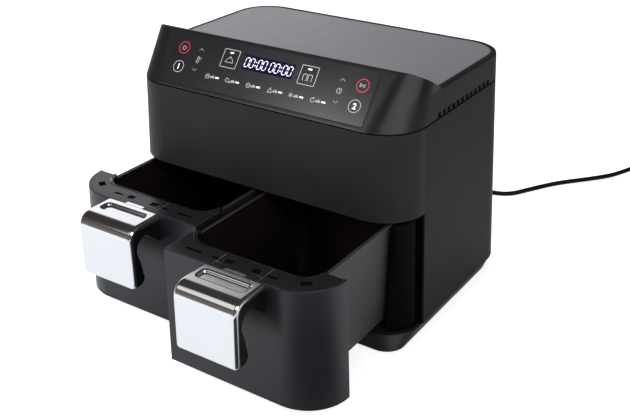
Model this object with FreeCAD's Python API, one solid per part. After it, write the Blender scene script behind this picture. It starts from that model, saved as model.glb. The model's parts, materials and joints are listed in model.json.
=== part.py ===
import FreeCAD, Part
import math
import os

from FreeCAD import Placement, Rotation, Vector

# Dual-drawer air fryer, millimetres, +Z up, front face towards -Y.
# The origin is on the table, under the middle of the footprint with both drawers pulled out.
# "Right" is the side with x > 0; the left side is its mirror image.

# ---- levels, from the table up
FOOT_HEIGHT = 3.0
BASE_HEIGHT = 17.0
DRAWER_GAP = 1.4
DRAWER_HEIGHT = 143.0
FASCIA_GAP = 2.6
FASCIA_HEIGHT = 105.0
SEAM_GAP = 2.0
LID_RISE = 34.0
CREST_RISE = 59.0

# ---- outer body
LID_HALF_WIDTH = 195.0
BODY_DEPTH = 279.0
FLARE = 0.0373
FRONT_RADIUS = 53.0
REAR_RADIUS = 48.0
CREST_SETBACK = 45.0
CREST_RADIUS = 34.0
RAMP_END = 90.0
SIDE_START = 54.0
WALL = 2.8
LID_EDGE = 2.6
CREST_EDGE = 3.0
CREST_FLAT = 3.0
SOFT_EDGE = 1.0
PANEL_GAP = 0.3

# ---- base
BASE_SIDE_INSET = 8.0
BASE_LIP = 3.0
BASE_TOP_INSET = 1.5
BASE_CORNER = 25.0
BASE_FLOOR = 3.0
SKID_DROP = 2.0
SKID_START = 158.0
FOOT_RADIUS = 11.0

# ---- cooking cavities
CAVITY_SIDE_SPACE = 18.0
CAVITY_MIDDLE_SPACE = 5.0
CAVITY_BACK_SPACE = 18.0
CAVITY_HEIGHT = 190.0
FRAME_THICKNESS = 3.0
COLUMN_GAP = 4.5
COLUMN_WALL = 2.0
COLUMN_TOP_GAP = 1.5
LINER_WALL = 0.8
LINER_LIFT = 6.0
RAIL_HEIGHT = 1.5
RUN_GAP = 0.3
SHIELD_RISE = 6.0

# ---- pan and crisper plate
PAN_SIDE_GAP = 4.0
PAN_BACK_GAP = 15.0
PAN_SETBACK = 30.0
PAN_WALL = 1.6
PAN_TAPER = 3.0
PAN_CORNER = 24.0
PAN_EDGE = 7.0
RIM_WIDTH = 3.0
RIM_HEIGHT = 2.0
PLATE_THICKNESS = 2.0
PLATE_LIFT = 10.0
PLATE_GAP = 2.5
PLATE_HOLE = 3.4
PLATE_PITCH = 17.0

# ---- drawer front and its top frame
DRAWER_WALL = 3.0
CENTRE_GAP = 3.0
DRAWER_SIDE_LENGTH = 52.8
FRAME_PLATE = 3.0
FRAME_LENGTH = 56.0
RIM_COVER = 2.0
PULL_RIGHT = 168.0
PULL_LEFT = 111.0

# ---- handle
HANDLE_OFFSET = 5.0
HANDLE_HALF_WIDTH = 40.0
HANDLE_REACH = 50.5
HANDLE_DROP = 77.0
HANDLE_BEND = 16.0
COVER_WALL = 2.0
POCKET_HALF_WIDTH = 31.0
POCKET_LENGTH = 17.0
POCKET_DEPTH = 3.5
TAB_HALF_WIDTH = 14.0
TAB_LENGTH = 5.5
SCREW_RADIUS = 2.0
SCREW_CLEARANCE = 0.05

# ---- heating and air
FAN_OFFSET = 4.0
SHAFT_RADIUS = 3.0
SHAFT_CLEARANCE = 0.05
HOLE_CLEARANCE = 2.0
HOT_FAN_RADIUS = 58.0
HOT_FAN_HEIGHT = 12.0
COOLING_FAN_RADIUS = 42.0
COOLING_FAN_HEIGHT = 10.0
MOTOR_RADIUS = 28.0
MOTOR_HEIGHT = 38.0
ELEMENT_SIDE_GAP = 20.0
ELEMENT_PITCH = 20.0
ELEMENT_LEAD = 12.0
ELEMENT_TUBE = 3.2
GUARD_WIRE = 1.5

# ---- control panel
GLASS_HALF_WIDTH = 144.5
GLASS_START = 4.6
GLASS_LENGTH = 66.8
GLASS_THICKNESS = 2.0
GLASS_GAP = 0.15
SEAT_THICKNESS = 2.5
DISPLAY_HALF_WIDTH = 37.0
DISPLAY_LENGTH = 20.0
BOARD_THICKNESS = 1.6
BOARD_DEPTH = 12.0

# ---- mains lead
CORD_RADIUS = 3.5
CORD_EXIT_X = -95.0
CORD_EXIT_HEIGHT = 60.0
BOOT_LENGTH = 30.0
PLUG_LENGTH = 50.0
PLUG_RADIUS = 18.0

BASE_BOTTOM = FOOT_HEIGHT
BASE_TOP = BASE_BOTTOM + BASE_HEIGHT
DRAWER_BOTTOM = BASE_TOP + DRAWER_GAP
DRAWER_TOP = DRAWER_BOTTOM + DRAWER_HEIGHT
FASCIA_BOTTOM = DRAWER_TOP + FASCIA_GAP
FASCIA_TOP = FASCIA_BOTTOM + FASCIA_HEIGHT
SEAM = FASCIA_TOP + SEAM_GAP
LID = SEAM + LID_RISE
CREST = SEAM + CREST_RISE

# The body's deepest point is at the bottom of its drafted back; the handle is its foremost one.
DEEPEST = BODY_DEPTH + FLARE * (LID - BASE_TOP)
FRONT = (PULL_RIGHT + HANDLE_REACH - DEEPEST) / 2

CAVITY_FRONT = FRONT + SIDE_START + FRAME_THICKNESS
CAVITY_BACK = FRONT + BODY_DEPTH - CAVITY_BACK_SPACE
CAVITY_HALF_WIDTH = (LID_HALF_WIDTH - CAVITY_SIDE_SPACE - CAVITY_MIDDLE_SPACE) / 2
CAVITY_CENTRE = CAVITY_MIDDLE_SPACE + CAVITY_HALF_WIDTH
HANDLE_CENTRE = CAVITY_CENTRE + HANDLE_OFFSET
LINER_BOTTOM = BASE_TOP + LINER_LIFT
LINER_TOP = LINER_BOTTOM + CAVITY_HEIGHT
SHIELD_TOP = LINER_TOP + SHIELD_RISE + LINER_WALL
PAN_BOTTOM = LINER_BOTTOM + LINER_WALL + RAIL_HEIGHT + RUN_GAP
RIM_TOP = DRAWER_TOP - FRAME_PLATE
PAN_FRONT = FRONT + PAN_SETBACK
PAN_LENGTH = CAVITY_BACK - PAN_BACK_GAP - PAN_FRONT
PAN_HALF_WIDTH = CAVITY_HALF_WIDTH - PAN_SIDE_GAP
PLATE_BOTTOM = PAN_BOTTOM + PAN_WALL + PLATE_LIFT
FAN_Y = (CAVITY_FRONT + CAVITY_BACK) / 2 - FAN_OFFSET
ELEMENT_RADIUS = CAVITY_HALF_WIDTH - ELEMENT_SIDE_GAP
PANEL_ANGLE = math.degrees(math.atan2(CREST_RISE, CREST_SETBACK))


def box(x0, x1, y0, y1, z0, z1):
    return Part.makeBox(x1 - x0, y1 - y0, z1 - z0, Vector(x0, y0, z0))


def rod(radius, x, y, z0, z1):
    return Part.makeCylinder(radius, z1 - z0, Vector(x, y, z0))


def rod_y(radius, x, z, y0, y1):
    return Part.makeCylinder(radius, y1 - y0, Vector(x, y0, z), Vector(0, 1, 0))


def fuse(shapes):
    first, rest = shapes[0], shapes[1:]
    return first.multiFuse(rest).removeSplitter() if rest else first


def mirrored(shape):
    return shape.mirror(Vector(0, 0, 0), Vector(1, 0, 0))


def soften(shape, radius, chosen):
    """Rounds every edge whose two ends and middle all satisfy the rule."""
    edges = []
    for edge in shape.Edges:
        middle = edge.valueAt((edge.FirstParameter + edge.LastParameter) / 2)
        if all(chosen(spot) for spot in [v.Point for v in edge.Vertexes] + [middle]):
            edges.append(edge)
    return shape.makeFillet(radius, edges)


def outline(z, x0, x1, y0, y1, front_radius, back_radius):
    """A rectangle with rounded corners, as a closed wire at height z."""
    corners = [(x1, y0, front_radius, -45), (x1, y1, back_radius, 45),
               (x0, y1, back_radius, 135), (x0, y0, front_radius, 225)]
    arcs = []
    for x, y, radius, middle in corners:
        cx = x - radius if x == x1 else x + radius
        cy = y - radius if y == y1 else y + radius
        spots = [Vector(cx + radius * math.cos(math.radians(a)), cy + radius * math.sin(math.radians(a)), z)
                 for a in (middle - 45, middle, middle + 45)]
        arcs.append(Part.Arc(*spots).toShape())
    edges = []
    for index, arc in enumerate(arcs):
        before = arcs[index - 1]
        edges.append(Part.makeLine(before.Vertexes[-1].Point, arc.Vertexes[0].Point))
        edges.append(arc)
    return Part.Wire(edges)


def rounded_box(x0, x1, y0, y1, z0, z1, front_radius, back_radius=None):
    back_radius = front_radius if back_radius is None else back_radius
    face = Part.Face(outline(z0, x0, x1, y0, y1, front_radius, back_radius))
    return face.extrude(Vector(0, 0, z1 - z0))


def loft(lower, upper):
    return Part.makeLoft([lower, upper], True, True)


def half_width(z):
    return LID_HALF_WIDTH + FLARE * (LID - z)


def back_of(z):
    return FRONT + BODY_DEPTH + FLARE * (LID - z)


def body_outline(z, inset):
    half = half_width(z) - inset
    return outline(z, -half, half, FRONT + inset, back_of(z) - inset,
                   FRONT_RADIUS - inset, REAR_RADIUS - inset)


def body_block(z0, z1, inset=0.0):
    return loft(body_outline(z0, inset), body_outline(z1, inset))


def along_x(points, x0, x1):
    """A (y, z) outline carried along X; a three-number item is an arc's middle, then its end."""
    edges, here = [], points[0]
    for item in points[1:]:
        start = Vector(x0, *here)
        if len(item) == 2:
            edges.append(Part.makeLine(start, Vector(x0, *item)))
            here = item
        else:
            middle, end = Vector(x0, item[0], item[1]), Vector(x0, *item[2])
            edges.append(Part.Arc(start, middle, end).toShape())
            here = item[2]
    edges.append(Part.makeLine(Vector(x0, *here), Vector(x0, *points[0])))
    return Part.Face(Part.Wire(edges)).extrude(Vector(x1 - x0, 0, 0))


def on_panel(shape):
    """Carries a shape drawn flat (x, distance up the slope, height over it) onto the slanted panel."""
    placed = shape.copy()
    placed.Placement = Placement(Vector(0, FRONT, SEAM), Rotation(Vector(1, 0, 0), PANEL_ANGLE)).multiply(
        placed.Placement)
    return placed


# ---- housing

def head_outline(inset):
    half = half_width(CREST) - inset
    return outline(CREST, -half, half, FRONT + CREST_SETBACK + inset, back_of(CREST) - inset,
                   CREST_RADIUS - inset, REAR_RADIUS - inset)


def cover_block(inset, bottom):
    """Slanted head and flat lid in one: a loft up to the crest, cut by the ramp behind it."""
    body = loft(body_outline(bottom, inset), head_outline(inset))
    far = back_of(SEAM) + WALL
    roof = along_x([(FRONT - WALL, bottom), (FRONT - WALL, CREST - inset),
                    (FRONT + CREST_SETBACK + 2 * inset + CREST_FLAT, CREST - inset),
                    (FRONT + RAMP_END, LID - inset), (far, LID - inset), (far, bottom)],
                   -LID_HALF_WIDTH - WALL * 5, LID_HALF_WIDTH + WALL * 5)
    return body.common(roof)


VENT_COUNT = 12
VENT_START = 83.0
VENT_PITCH = 11.9
VENT_WIDTH = 7.5
VENT_HEIGHT = 6.0
TONGUE_WALL = 2.0
TONGUE_DROP = 6.0


def side_vents():
    reach = half_width(SEAM) + WALL
    inner = half_width(SEAM) - 3 * WALL
    cuts = []
    for index in range(VENT_COUNT):
        y = FRONT + VENT_START + index * VENT_PITCH
        cut = box(inner, reach, y, y + VENT_WIDTH, SEAM - SEAM_GAP / 2, SEAM + VENT_HEIGHT)
        cuts += [cut, mirrored(cut)]
    return cuts


TOUCH_KEYS = [(127.0, 51.0), (126.5, 26.5), (101.5, 53.0), (101.5, 26.8), (56.5, 49.0)]
MODE_KEYS = [-64.0, -34.0, -3.5, 28.0, 57.5, 87.5]
MODE_ROW = 22.8
SPRING_RADIUS = 3.0
STANDOFF_RADIUS = 3.5
STANDOFFS = [(115.0, 14.0), (115.0, 63.0), (75.0, 62.0)]
DISPLAY_START = 39.5


def touch_spots():
    spots = [(side * x, s) for x, s in TOUCH_KEYS for side in (-1, 1)]
    return spots + [(x, MODE_ROW) for x in MODE_KEYS]


def top_cover():
    outer = soften(cover_block(0.0, SEAM), CREST_EDGE, lambda spot: spot.z > CREST - CREST_EDGE)
    outer = soften(outer, LID_EDGE, lambda spot: abs(spot.z - LID) < 0.05 and (
        spot.y > FRONT + RAMP_END + 1 or abs(spot.x) > LID_HALF_WIDTH - 1))
    shell = outer.cut(cover_block(WALL, SEAM - WALL))
    tongue = body_block(SEAM - TONGUE_DROP, SEAM + WALL, WALL + PANEL_GAP).cut(
        body_block(SEAM - TONGUE_DROP - 1, SEAM + WALL + 1, WALL + PANEL_GAP + TONGUE_WALL))
    ledge = body_block(SEAM, SEAM + WALL, WALL / 2).cut(
        body_block(SEAM - 1, SEAM + WALL + 1, WALL + PANEL_GAP + TONGUE_WALL))
    behind = box(-250, 250, FRONT + CREST_SETBACK, back_of(SEAM), 0, CREST)
    tongue = tongue.common(behind)
    ledge = ledge.common(behind)
    seat_end = GLASS_START + GLASS_LENGTH
    depth = GLASS_THICKNESS + SEAT_THICKNESS
    seat = on_panel(box(-GLASS_HALF_WIDTH - 1, GLASS_HALF_WIDTH + 1, GLASS_START, seat_end, -depth, -1))
    posts = []
    for x, s in STANDOFFS:
        for side in (-1, 1):
            posts.append(on_panel(rod(STANDOFF_RADIUS, side * x, s, -BOARD_DEPTH, -depth + 0.5)))
    cover = fuse([shell, tongue, ledge, seat] + posts)
    pocket = on_panel(rounded_box(-GLASS_HALF_WIDTH - GLASS_GAP, GLASS_HALF_WIDTH + GLASS_GAP,
                                  GLASS_START - GLASS_GAP, seat_end + GLASS_GAP,
                                  -GLASS_THICKNESS, GLASS_THICKNESS * 4, 3.0))
    window = on_panel(box(-DISPLAY_HALF_WIDTH - 1, DISPLAY_HALF_WIDTH + 1, DISPLAY_START - 1,
                          DISPLAY_START + DISPLAY_LENGTH + 1, -depth - 1, 0))
    holes = [on_panel(rod(SPRING_RADIUS + 0.6, x, s, -depth - 1, 0)) for x, s in touch_spots()]
    return cover.cut(fuse([pocket]).multiFuse([window] + holes + side_vents()))


def touch_panel():
    return on_panel(rounded_box(-GLASS_HALF_WIDTH, GLASS_HALF_WIDTH, GLASS_START,
                                GLASS_START + GLASS_LENGTH, -GLASS_THICKNESS, 0.0, 3.0))


def display_module():
    return on_panel(box(-DISPLAY_HALF_WIDTH, DISPLAY_HALF_WIDTH, DISPLAY_START,
                        DISPLAY_START + DISPLAY_LENGTH, -BOARD_DEPTH, -GLASS_THICKNESS))


def touch_springs():
    return Part.makeCompound([on_panel(rod(SPRING_RADIUS, x, s, -BOARD_DEPTH, -GLASS_THICKNESS))
                              for x, s in touch_spots()])


BOARD_HALF_WIDTH = 134.0
BOARD_START = 9.0
BOARD_LENGTH = 57.0
BOARD_SCREW = 1.5


def control_board():
    board = box(-BOARD_HALF_WIDTH, BOARD_HALF_WIDTH, BOARD_START, BOARD_START + BOARD_LENGTH,
                -BOARD_DEPTH - BOARD_THICKNESS, -BOARD_DEPTH)
    chips = [box(x, x + 14, 20, 34, -BOARD_DEPTH - BOARD_THICKNESS - 3, -BOARD_DEPTH - BOARD_THICKNESS)
             for x in (-60, 10, 60)]
    board = fuse([board] + chips)
    holes = [rod(BOARD_SCREW + 0.1, side * x, s, -BOARD_DEPTH - 9, -BOARD_DEPTH + 1)
             for x, s in STANDOFFS for side in (-1, 1)]
    return on_panel(board.cut(fuse(holes)))


def board_screws():
    screws = []
    back = -BOARD_DEPTH - BOARD_THICKNESS
    for x, s in STANDOFFS:
        for side in (-1, 1):
            head = rod(BOARD_SCREW * 2, side * x, s, back - 2, back)
            screws.append(on_panel(fuse([head, rod(BOARD_SCREW, side * x, s, back - 1, -BOARD_DEPTH)])))
    return Part.makeCompound(screws)


def fascia():
    outer = soften(body_block(FASCIA_BOTTOM, FASCIA_TOP), SOFT_EDGE / 2,
                   lambda spot: min(abs(spot.z - FASCIA_TOP), abs(spot.z - FASCIA_BOTTOM)) < 0.01)
    skin = outer.cut(body_block(FASCIA_BOTTOM - 1, FASCIA_TOP + 1, WALL))
    lip = body_block(FASCIA_BOTTOM, FASCIA_BOTTOM + WALL, WALL / 2)
    rib = body_block(FASCIA_TOP - 30, FASCIA_TOP - 30 + WALL, WALL / 2).cut(
        body_block(FASCIA_TOP - 31, FASCIA_TOP, 20.0))
    front_part = box(-250, 250, FRONT - 5, FRONT + SIDE_START - PANEL_GAP, 0, CREST)
    return fuse([skin, lip, rib]).common(front_part)


GRILLE_HALF_WIDTH = 32.0
GRILLE_SLOT = 3.5
GRILLE_PITCH = 6.5
GRILLE_ROWS = 4
OUTLET_TOP_GAP = 4.0
OUTLET_HEIGHT = 26.0
OUTLET_TOP = LINER_TOP - OUTLET_TOP_GAP
OUTLET_BOTTOM = OUTLET_TOP - OUTLET_HEIGHT
BOOT_HOLE = 6.5


def housing_shell():
    block = soften(body_block(BASE_TOP, FASCIA_TOP), SOFT_EDGE / 2, lambda spot: abs(spot.z - FASCIA_TOP) < 0.01)
    block = block.cut(body_block(BASE_TOP - 1, FASCIA_TOP + 1, WALL))
    keep = box(-250, 250, FRONT + SIDE_START, back_of(0) + 5, 0, CREST)
    shell = block.common(keep)
    cuts = []
    for row in range(GRILLE_ROWS):
        z = LINER_TOP - 3 - (row + 1) * GRILLE_PITCH
        slot = box(CAVITY_CENTRE - GRILLE_HALF_WIDTH, CAVITY_CENTRE + GRILLE_HALF_WIDTH,
                   back_of(LID) - 3 * WALL, back_of(0) + 5, z, z + GRILLE_SLOT)
        cuts += [slot, mirrored(slot)]
    cuts.append(rod_y(BOOT_HOLE, CORD_EXIT_X, CORD_EXIT_HEIGHT, back_of(LID), back_of(0) + 5))
    return shell.cut(fuse(cuts))


def corner_column():
    """Rounded jamb beside the right opening, which the hollow drawer front wraps when it is closed."""
    inset, top = DRAWER_WALL + COLUMN_GAP, RIM_TOP - COLUMN_TOP_GAP
    x0, back = CAVITY_CENTRE + CAVITY_HALF_WIDTH, FRONT + SIDE_START + FRAME_THICKNESS / 2
    block = body_block(BASE_TOP, top, inset).common(box(x0, 250, FRONT, back, 0, CREST))
    hollow = body_block(BASE_TOP - 1, top + 1, inset + COLUMN_WALL).common(
        box(x0 + COLUMN_WALL, 250, FRONT, back, 0, CREST))
    lid = body_block(top - COLUMN_WALL, top, inset).common(box(x0, 250, FRONT, back, 0, CREST))
    return fuse([block.cut(hollow), lid])


def front_frame():
    top = FASCIA_BOTTOM + 24.0
    plate = body_block(BASE_TOP, top, WALL + PANEL_GAP).common(
        box(-250, 250, FRONT + SIDE_START, CAVITY_FRONT, 0, CREST))
    for side in (-1, 1):
        x0, x1 = sorted((side * (CAVITY_CENTRE - CAVITY_HALF_WIDTH), side * (CAVITY_CENTRE + CAVITY_HALF_WIDTH)))
        opening = box(x0, x1, FRONT, CAVITY_FRONT + 1, LINER_BOTTOM + LINER_WALL, FASCIA_BOTTOM)
        plate = plate.cut(opening)
    column = corner_column()
    return fuse([plate, column, mirrored(column)])


BASE_SCREW = 2.0
BASE_SCREW_INSET = 14.0
BASE_SCREW_FRONT = 90.0
BASE_SCREW_REAR = 64.0
BASE_SCREW_MIDDLE = 30.0


def base_screw_spots():
    side, back = half_width(BASE_TOP) - BASE_SCREW_INSET, back_of(BASE_TOP)
    spots = [(side, FRONT + BASE_SCREW_FRONT), (side, back - BASE_SCREW_REAR),
             (BASE_SCREW_MIDDLE, back - BASE_SCREW_INSET)]
    return spots + [(-x, y) for x, y in spots]


def foot_spots():
    x = half_width(BASE_BOTTOM) - BASE_SIDE_INSET - 1.8 * FOOT_RADIUS
    return [(side * x, y) for side in (-1, 1)
            for y in (FRONT + 20.0, back_of(BASE_BOTTOM) - REAR_RADIUS)]


def base_tray():
    low = half_width(BASE_TOP) - BASE_SIDE_INSET
    lower = outline(BASE_BOTTOM, -low, low, FRONT - BASE_LIP, back_of(BASE_TOP) - BASE_SIDE_INSET,
                    BASE_CORNER, REAR_RADIUS - BASE_SIDE_INSET)
    slab = soften(loft(lower, body_outline(BASE_TOP, BASE_TOP_INSET)), 2 * SOFT_EDGE,
                  lambda spot: spot.z > BASE_TOP - 0.01)
    skid = rounded_box(-low + 1, low - 1, FRONT + SKID_START, back_of(BASE_TOP) - BASE_SIDE_INSET - 1,
                       BASE_BOTTOM - SKID_DROP, BASE_BOTTOM + 0.5, 6.0, REAR_RADIUS - BASE_SIDE_INSET - 1)
    pocket = body_block(BASE_BOTTOM + BASE_FLOOR, BASE_TOP + 1, BASE_SIDE_INSET + 4 * BASE_FLOOR).common(
        box(-250, 250, CAVITY_FRONT + 4, back_of(0), 0, CREST))
    tray = fuse([slab, skid]).cut(pocket)
    ribs = []
    for x in (CAVITY_CENTRE - 60, CAVITY_CENTRE, CAVITY_CENTRE + 60):
        rib = box(x - 1.5, x + 1.5, CAVITY_FRONT + 10, CAVITY_BACK - 10, BASE_BOTTOM + 1, LINER_BOTTOM)
        ribs += [rib, mirrored(rib)]
    tray = fuse([tray] + ribs)
    cuts = [rod(FOOT_RADIUS + 0.2, x, y, 0, FOOT_HEIGHT) for x, y in foot_spots()]
    for x, y in base_screw_spots():
        cuts.append(rod(BASE_SCREW * 2 + 0.3, x, y, 0, BASE_BOTTOM + 2.5))
        cuts.append(rod(BASE_SCREW + 0.1, x, y, 0, BASE_TOP + 1))
    return tray.cut(fuse(cuts))


def rubber_feet():
    return Part.makeCompound([rod(FOOT_RADIUS, x, y, 0, FOOT_HEIGHT) for x, y in foot_spots()])


def base_screws():
    screws = []
    for x, y in base_screw_spots():
        head = rod(BASE_SCREW * 2, x, y, BASE_BOTTOM, BASE_BOTTOM + 2.5)
        shank = rod(BASE_SCREW, x, y, BASE_BOTTOM + 2, BASE_TOP)
        screws.append(fuse([head, shank]))
    return Part.makeCompound(screws)


# ---- cooking side, drawn for the right

def liner():
    x0, x1 = CAVITY_CENTRE - CAVITY_HALF_WIDTH, CAVITY_CENTRE + CAVITY_HALF_WIDTH
    wall = LINER_WALL
    shell = box(x0 - wall, x1 + wall, CAVITY_FRONT, CAVITY_BACK, LINER_BOTTOM, LINER_TOP).cut(
        box(x0, x1, CAVITY_FRONT + wall, CAVITY_BACK - wall, LINER_BOTTOM + wall, LINER_TOP - wall))
    mouth = box(x0, x1, CAVITY_FRONT - 1, CAVITY_FRONT + 2 * wall, LINER_BOTTOM + wall, FASCIA_BOTTOM)
    outlet = box(CAVITY_CENTRE - GRILLE_HALF_WIDTH, CAVITY_CENTRE + GRILLE_HALF_WIDTH,
                 CAVITY_BACK - 2 * wall, CAVITY_BACK + 1, OUTLET_BOTTOM, OUTLET_TOP)
    bore = rod(SHAFT_RADIUS + HOLE_CLEARANCE, CAVITY_CENTRE, FAN_Y, LINER_TOP - 3, LINER_TOP + 1)
    leads = [rod(ELEMENT_TUBE + 0.3, CAVITY_CENTRE + dx, FAN_Y + ELEMENT_RADIUS, LINER_TOP - 3, LINER_TOP + 1)
             for dx in (-ELEMENT_LEAD, ELEMENT_LEAD)]
    rails = [box(CAVITY_CENTRE + dx - 4, CAVITY_CENTRE + dx + 4, CAVITY_FRONT + 2, CAVITY_BACK - wall,
                 LINER_BOTTOM + wall / 2, LINER_BOTTOM + wall + RAIL_HEIGHT) for dx in (-60, 60)]
    return fuse([shell] + rails).cut(fuse([mouth, outlet, bore] + leads))


def heat_shield():
    x0, x1 = CAVITY_CENTRE - CAVITY_HALF_WIDTH, CAVITY_CENTRE + CAVITY_HALF_WIDTH
    plate = box(x0, x1, CAVITY_FRONT, CAVITY_BACK, LINER_TOP + SHIELD_RISE, SHIELD_TOP)
    legs = [box(x0, x1, y, y + LINER_WALL, LINER_TOP, LINER_TOP + SHIELD_RISE + LINER_WALL / 2)
            for y in (CAVITY_FRONT, CAVITY_BACK - LINER_WALL)]
    bore = rod(SHAFT_RADIUS + HOLE_CLEARANCE, CAVITY_CENTRE, FAN_Y, LINER_TOP, SHIELD_TOP + 1)
    leads = [rod(ELEMENT_TUBE + 0.3, CAVITY_CENTRE + dx, FAN_Y + ELEMENT_RADIUS, LINER_TOP, SHIELD_TOP + 1)
             for dx in (-ELEMENT_LEAD, ELEMENT_LEAD)]
    return fuse([plate] + legs).cut(fuse([bore] + leads))


HOT_FAN_TOP = LINER_TOP - LINER_WALL - 5.0
ELEMENT_Z = HOT_FAN_TOP - HOT_FAN_HEIGHT - 8.0
GUARD_Z = ELEMENT_Z - 9.0
GUARD_STEPS = [8.0, -12.0, -34.0]


def heating_element():
    rings = [Part.makeTorus(radius, ELEMENT_TUBE, Vector(CAVITY_CENTRE, FAN_Y, ELEMENT_Z))
             for radius in (ELEMENT_RADIUS, ELEMENT_RADIUS - ELEMENT_PITCH)]
    bridge = rod_y(ELEMENT_TUBE, CAVITY_CENTRE, ELEMENT_Z, FAN_Y - ELEMENT_RADIUS,
                   FAN_Y - ELEMENT_RADIUS + ELEMENT_PITCH)
    leads = [rod(ELEMENT_TUBE, CAVITY_CENTRE + dx, FAN_Y + ELEMENT_RADIUS, ELEMENT_Z, SHIELD_TOP + 8)
             for dx in (-ELEMENT_LEAD, ELEMENT_LEAD)]
    return fuse(rings + [bridge] + leads)


def element_guard():
    radii = [ELEMENT_RADIUS + step for step in GUARD_STEPS]
    rings = [Part.makeTorus(radius, GUARD_WIRE, Vector(CAVITY_CENTRE, FAN_Y, GUARD_Z)) for radius in radii]
    reach = radii[0]
    bar, level = GUARD_WIRE * 0.8, GUARD_Z + GUARD_WIRE
    bars = [rod_y(bar, CAVITY_CENTRE, level, FAN_Y - reach, FAN_Y + reach),
            Part.makeCylinder(bar, 2 * reach, Vector(CAVITY_CENTRE - reach, FAN_Y, level + bar), Vector(1, 0, 0))]
    posts = []
    for turn in (45, 135, 225, 315):
        x = CAVITY_CENTRE + reach * math.cos(math.radians(turn))
        y = FAN_Y + reach * math.sin(math.radians(turn))
        posts.append(rod(GUARD_WIRE * 1.3, x, y, GUARD_Z, LINER_TOP - LINER_WALL))
    return fuse(rings + bars + posts)


def impeller(radius, height, top, blades):
    hub = rod(SHAFT_RADIUS + 5, CAVITY_CENTRE, FAN_Y, top - height, top)
    disc = rod(radius, CAVITY_CENTRE, FAN_Y, top - 1.2, top)
    vanes = []
    for index in range(blades):
        vane = box(SHAFT_RADIUS + 4, radius - 1, -0.6, 0.6, 0, height - 0.6)
        vane.Placement = Placement(Vector(CAVITY_CENTRE, FAN_Y, top - height),
                                   Rotation(Vector(0, 0, 1), 360.0 * index / blades))
        vanes.append(vane)
    bore = rod(SHAFT_RADIUS + SHAFT_CLEARANCE / 2, CAVITY_CENTRE, FAN_Y, top - height - 1, top + 1)
    return fuse([hub, disc] + vanes).cut(bore)


COOLING_FAN_TOP = SHIELD_TOP + 4.0 + COOLING_FAN_HEIGHT
MOTOR_BOTTOM = COOLING_FAN_TOP + 4.0
BRACKET_WALL = 2.0
BRACKET_GAP = 4.0
BRACKET_FOOT = 8.0
BRACKET_HALF_DEPTH = 12.0


def hot_fan():
    return impeller(HOT_FAN_RADIUS, HOT_FAN_HEIGHT, HOT_FAN_TOP, 10)


def cooling_fan():
    return impeller(COOLING_FAN_RADIUS, COOLING_FAN_HEIGHT, COOLING_FAN_TOP, 8)


def fan_shaft():
    return rod(SHAFT_RADIUS, CAVITY_CENTRE, FAN_Y, HOT_FAN_TOP - HOT_FAN_HEIGHT - 2, MOTOR_BOTTOM + 20)


def motor_bracket():
    reach = COOLING_FAN_RADIUS + BRACKET_GAP
    y0, y1 = FAN_Y - BRACKET_HALF_DEPTH, FAN_Y + BRACKET_HALF_DEPTH
    bridge = box(CAVITY_CENTRE - reach - BRACKET_FOOT, CAVITY_CENTRE + reach + BRACKET_FOOT, y0, y1,
                 MOTOR_BOTTOM - BRACKET_WALL, MOTOR_BOTTOM)
    legs = []
    for side in (-1, 1):
        x0, x1 = sorted((CAVITY_CENTRE + side * reach, CAVITY_CENTRE + side * (reach + BRACKET_WALL)))
        legs.append(box(x0, x1, y0, y1, SHIELD_TOP, MOTOR_BOTTOM))
        x2, x3 = sorted((CAVITY_CENTRE + side * reach, CAVITY_CENTRE + side * (reach + BRACKET_FOOT)))
        legs.append(box(x2, x3, y0, y1, SHIELD_TOP, SHIELD_TOP + BRACKET_WALL))
    bore = rod(SHAFT_RADIUS + HOLE_CLEARANCE, CAVITY_CENTRE, FAN_Y, MOTOR_BOTTOM - 5, MOTOR_BOTTOM + 1)
    return fuse([bridge] + legs).cut(bore)


def fan_motor():
    can = rod(MOTOR_RADIUS, CAVITY_CENTRE, FAN_Y, MOTOR_BOTTOM, MOTOR_BOTTOM + MOTOR_HEIGHT)
    bore = rod(SHAFT_RADIUS + SHAFT_CLEARANCE, CAVITY_CENTRE, FAN_Y, MOTOR_BOTTOM - 1, MOTOR_BOTTOM + 20.5)
    return can.cut(bore)


DUCT_WALL = 1.5


def exhaust_duct():
    x0, x1 = CAVITY_CENTRE - GRILLE_HALF_WIDTH, CAVITY_CENTRE + GRILLE_HALF_WIDTH
    z0, z1 = OUTLET_BOTTOM, OUTLET_TOP
    tube = box(x0 - DUCT_WALL, x1 + DUCT_WALL, CAVITY_BACK, back_of(LID), z0 - DUCT_WALL, z1 + DUCT_WALL)
    inside = box(x0, x1, CAVITY_BACK - 1, back_of(0), z0, z1)
    return tube.common(body_block(BASE_TOP, FASCIA_TOP, WALL)).cut(inside)


POWER_BOARD_HALF = 42.0
POWER_BOARD_LENGTH = 52.0
POWER_BOARD_GAP = 6.0
POWER_BOARD_RISE = 12.0
POWER_BOARD_Z = SHIELD_TOP + POWER_BOARD_RISE
POWER_BOARD_POST = 3.0
POWER_BOARD_MARGIN = 12.0
POWER_BLOCKS = [(-34.0, 20.0, 18.0), (-8.0, 16.0, 14.0), (14.0, 22.0, 20.0)]


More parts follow.
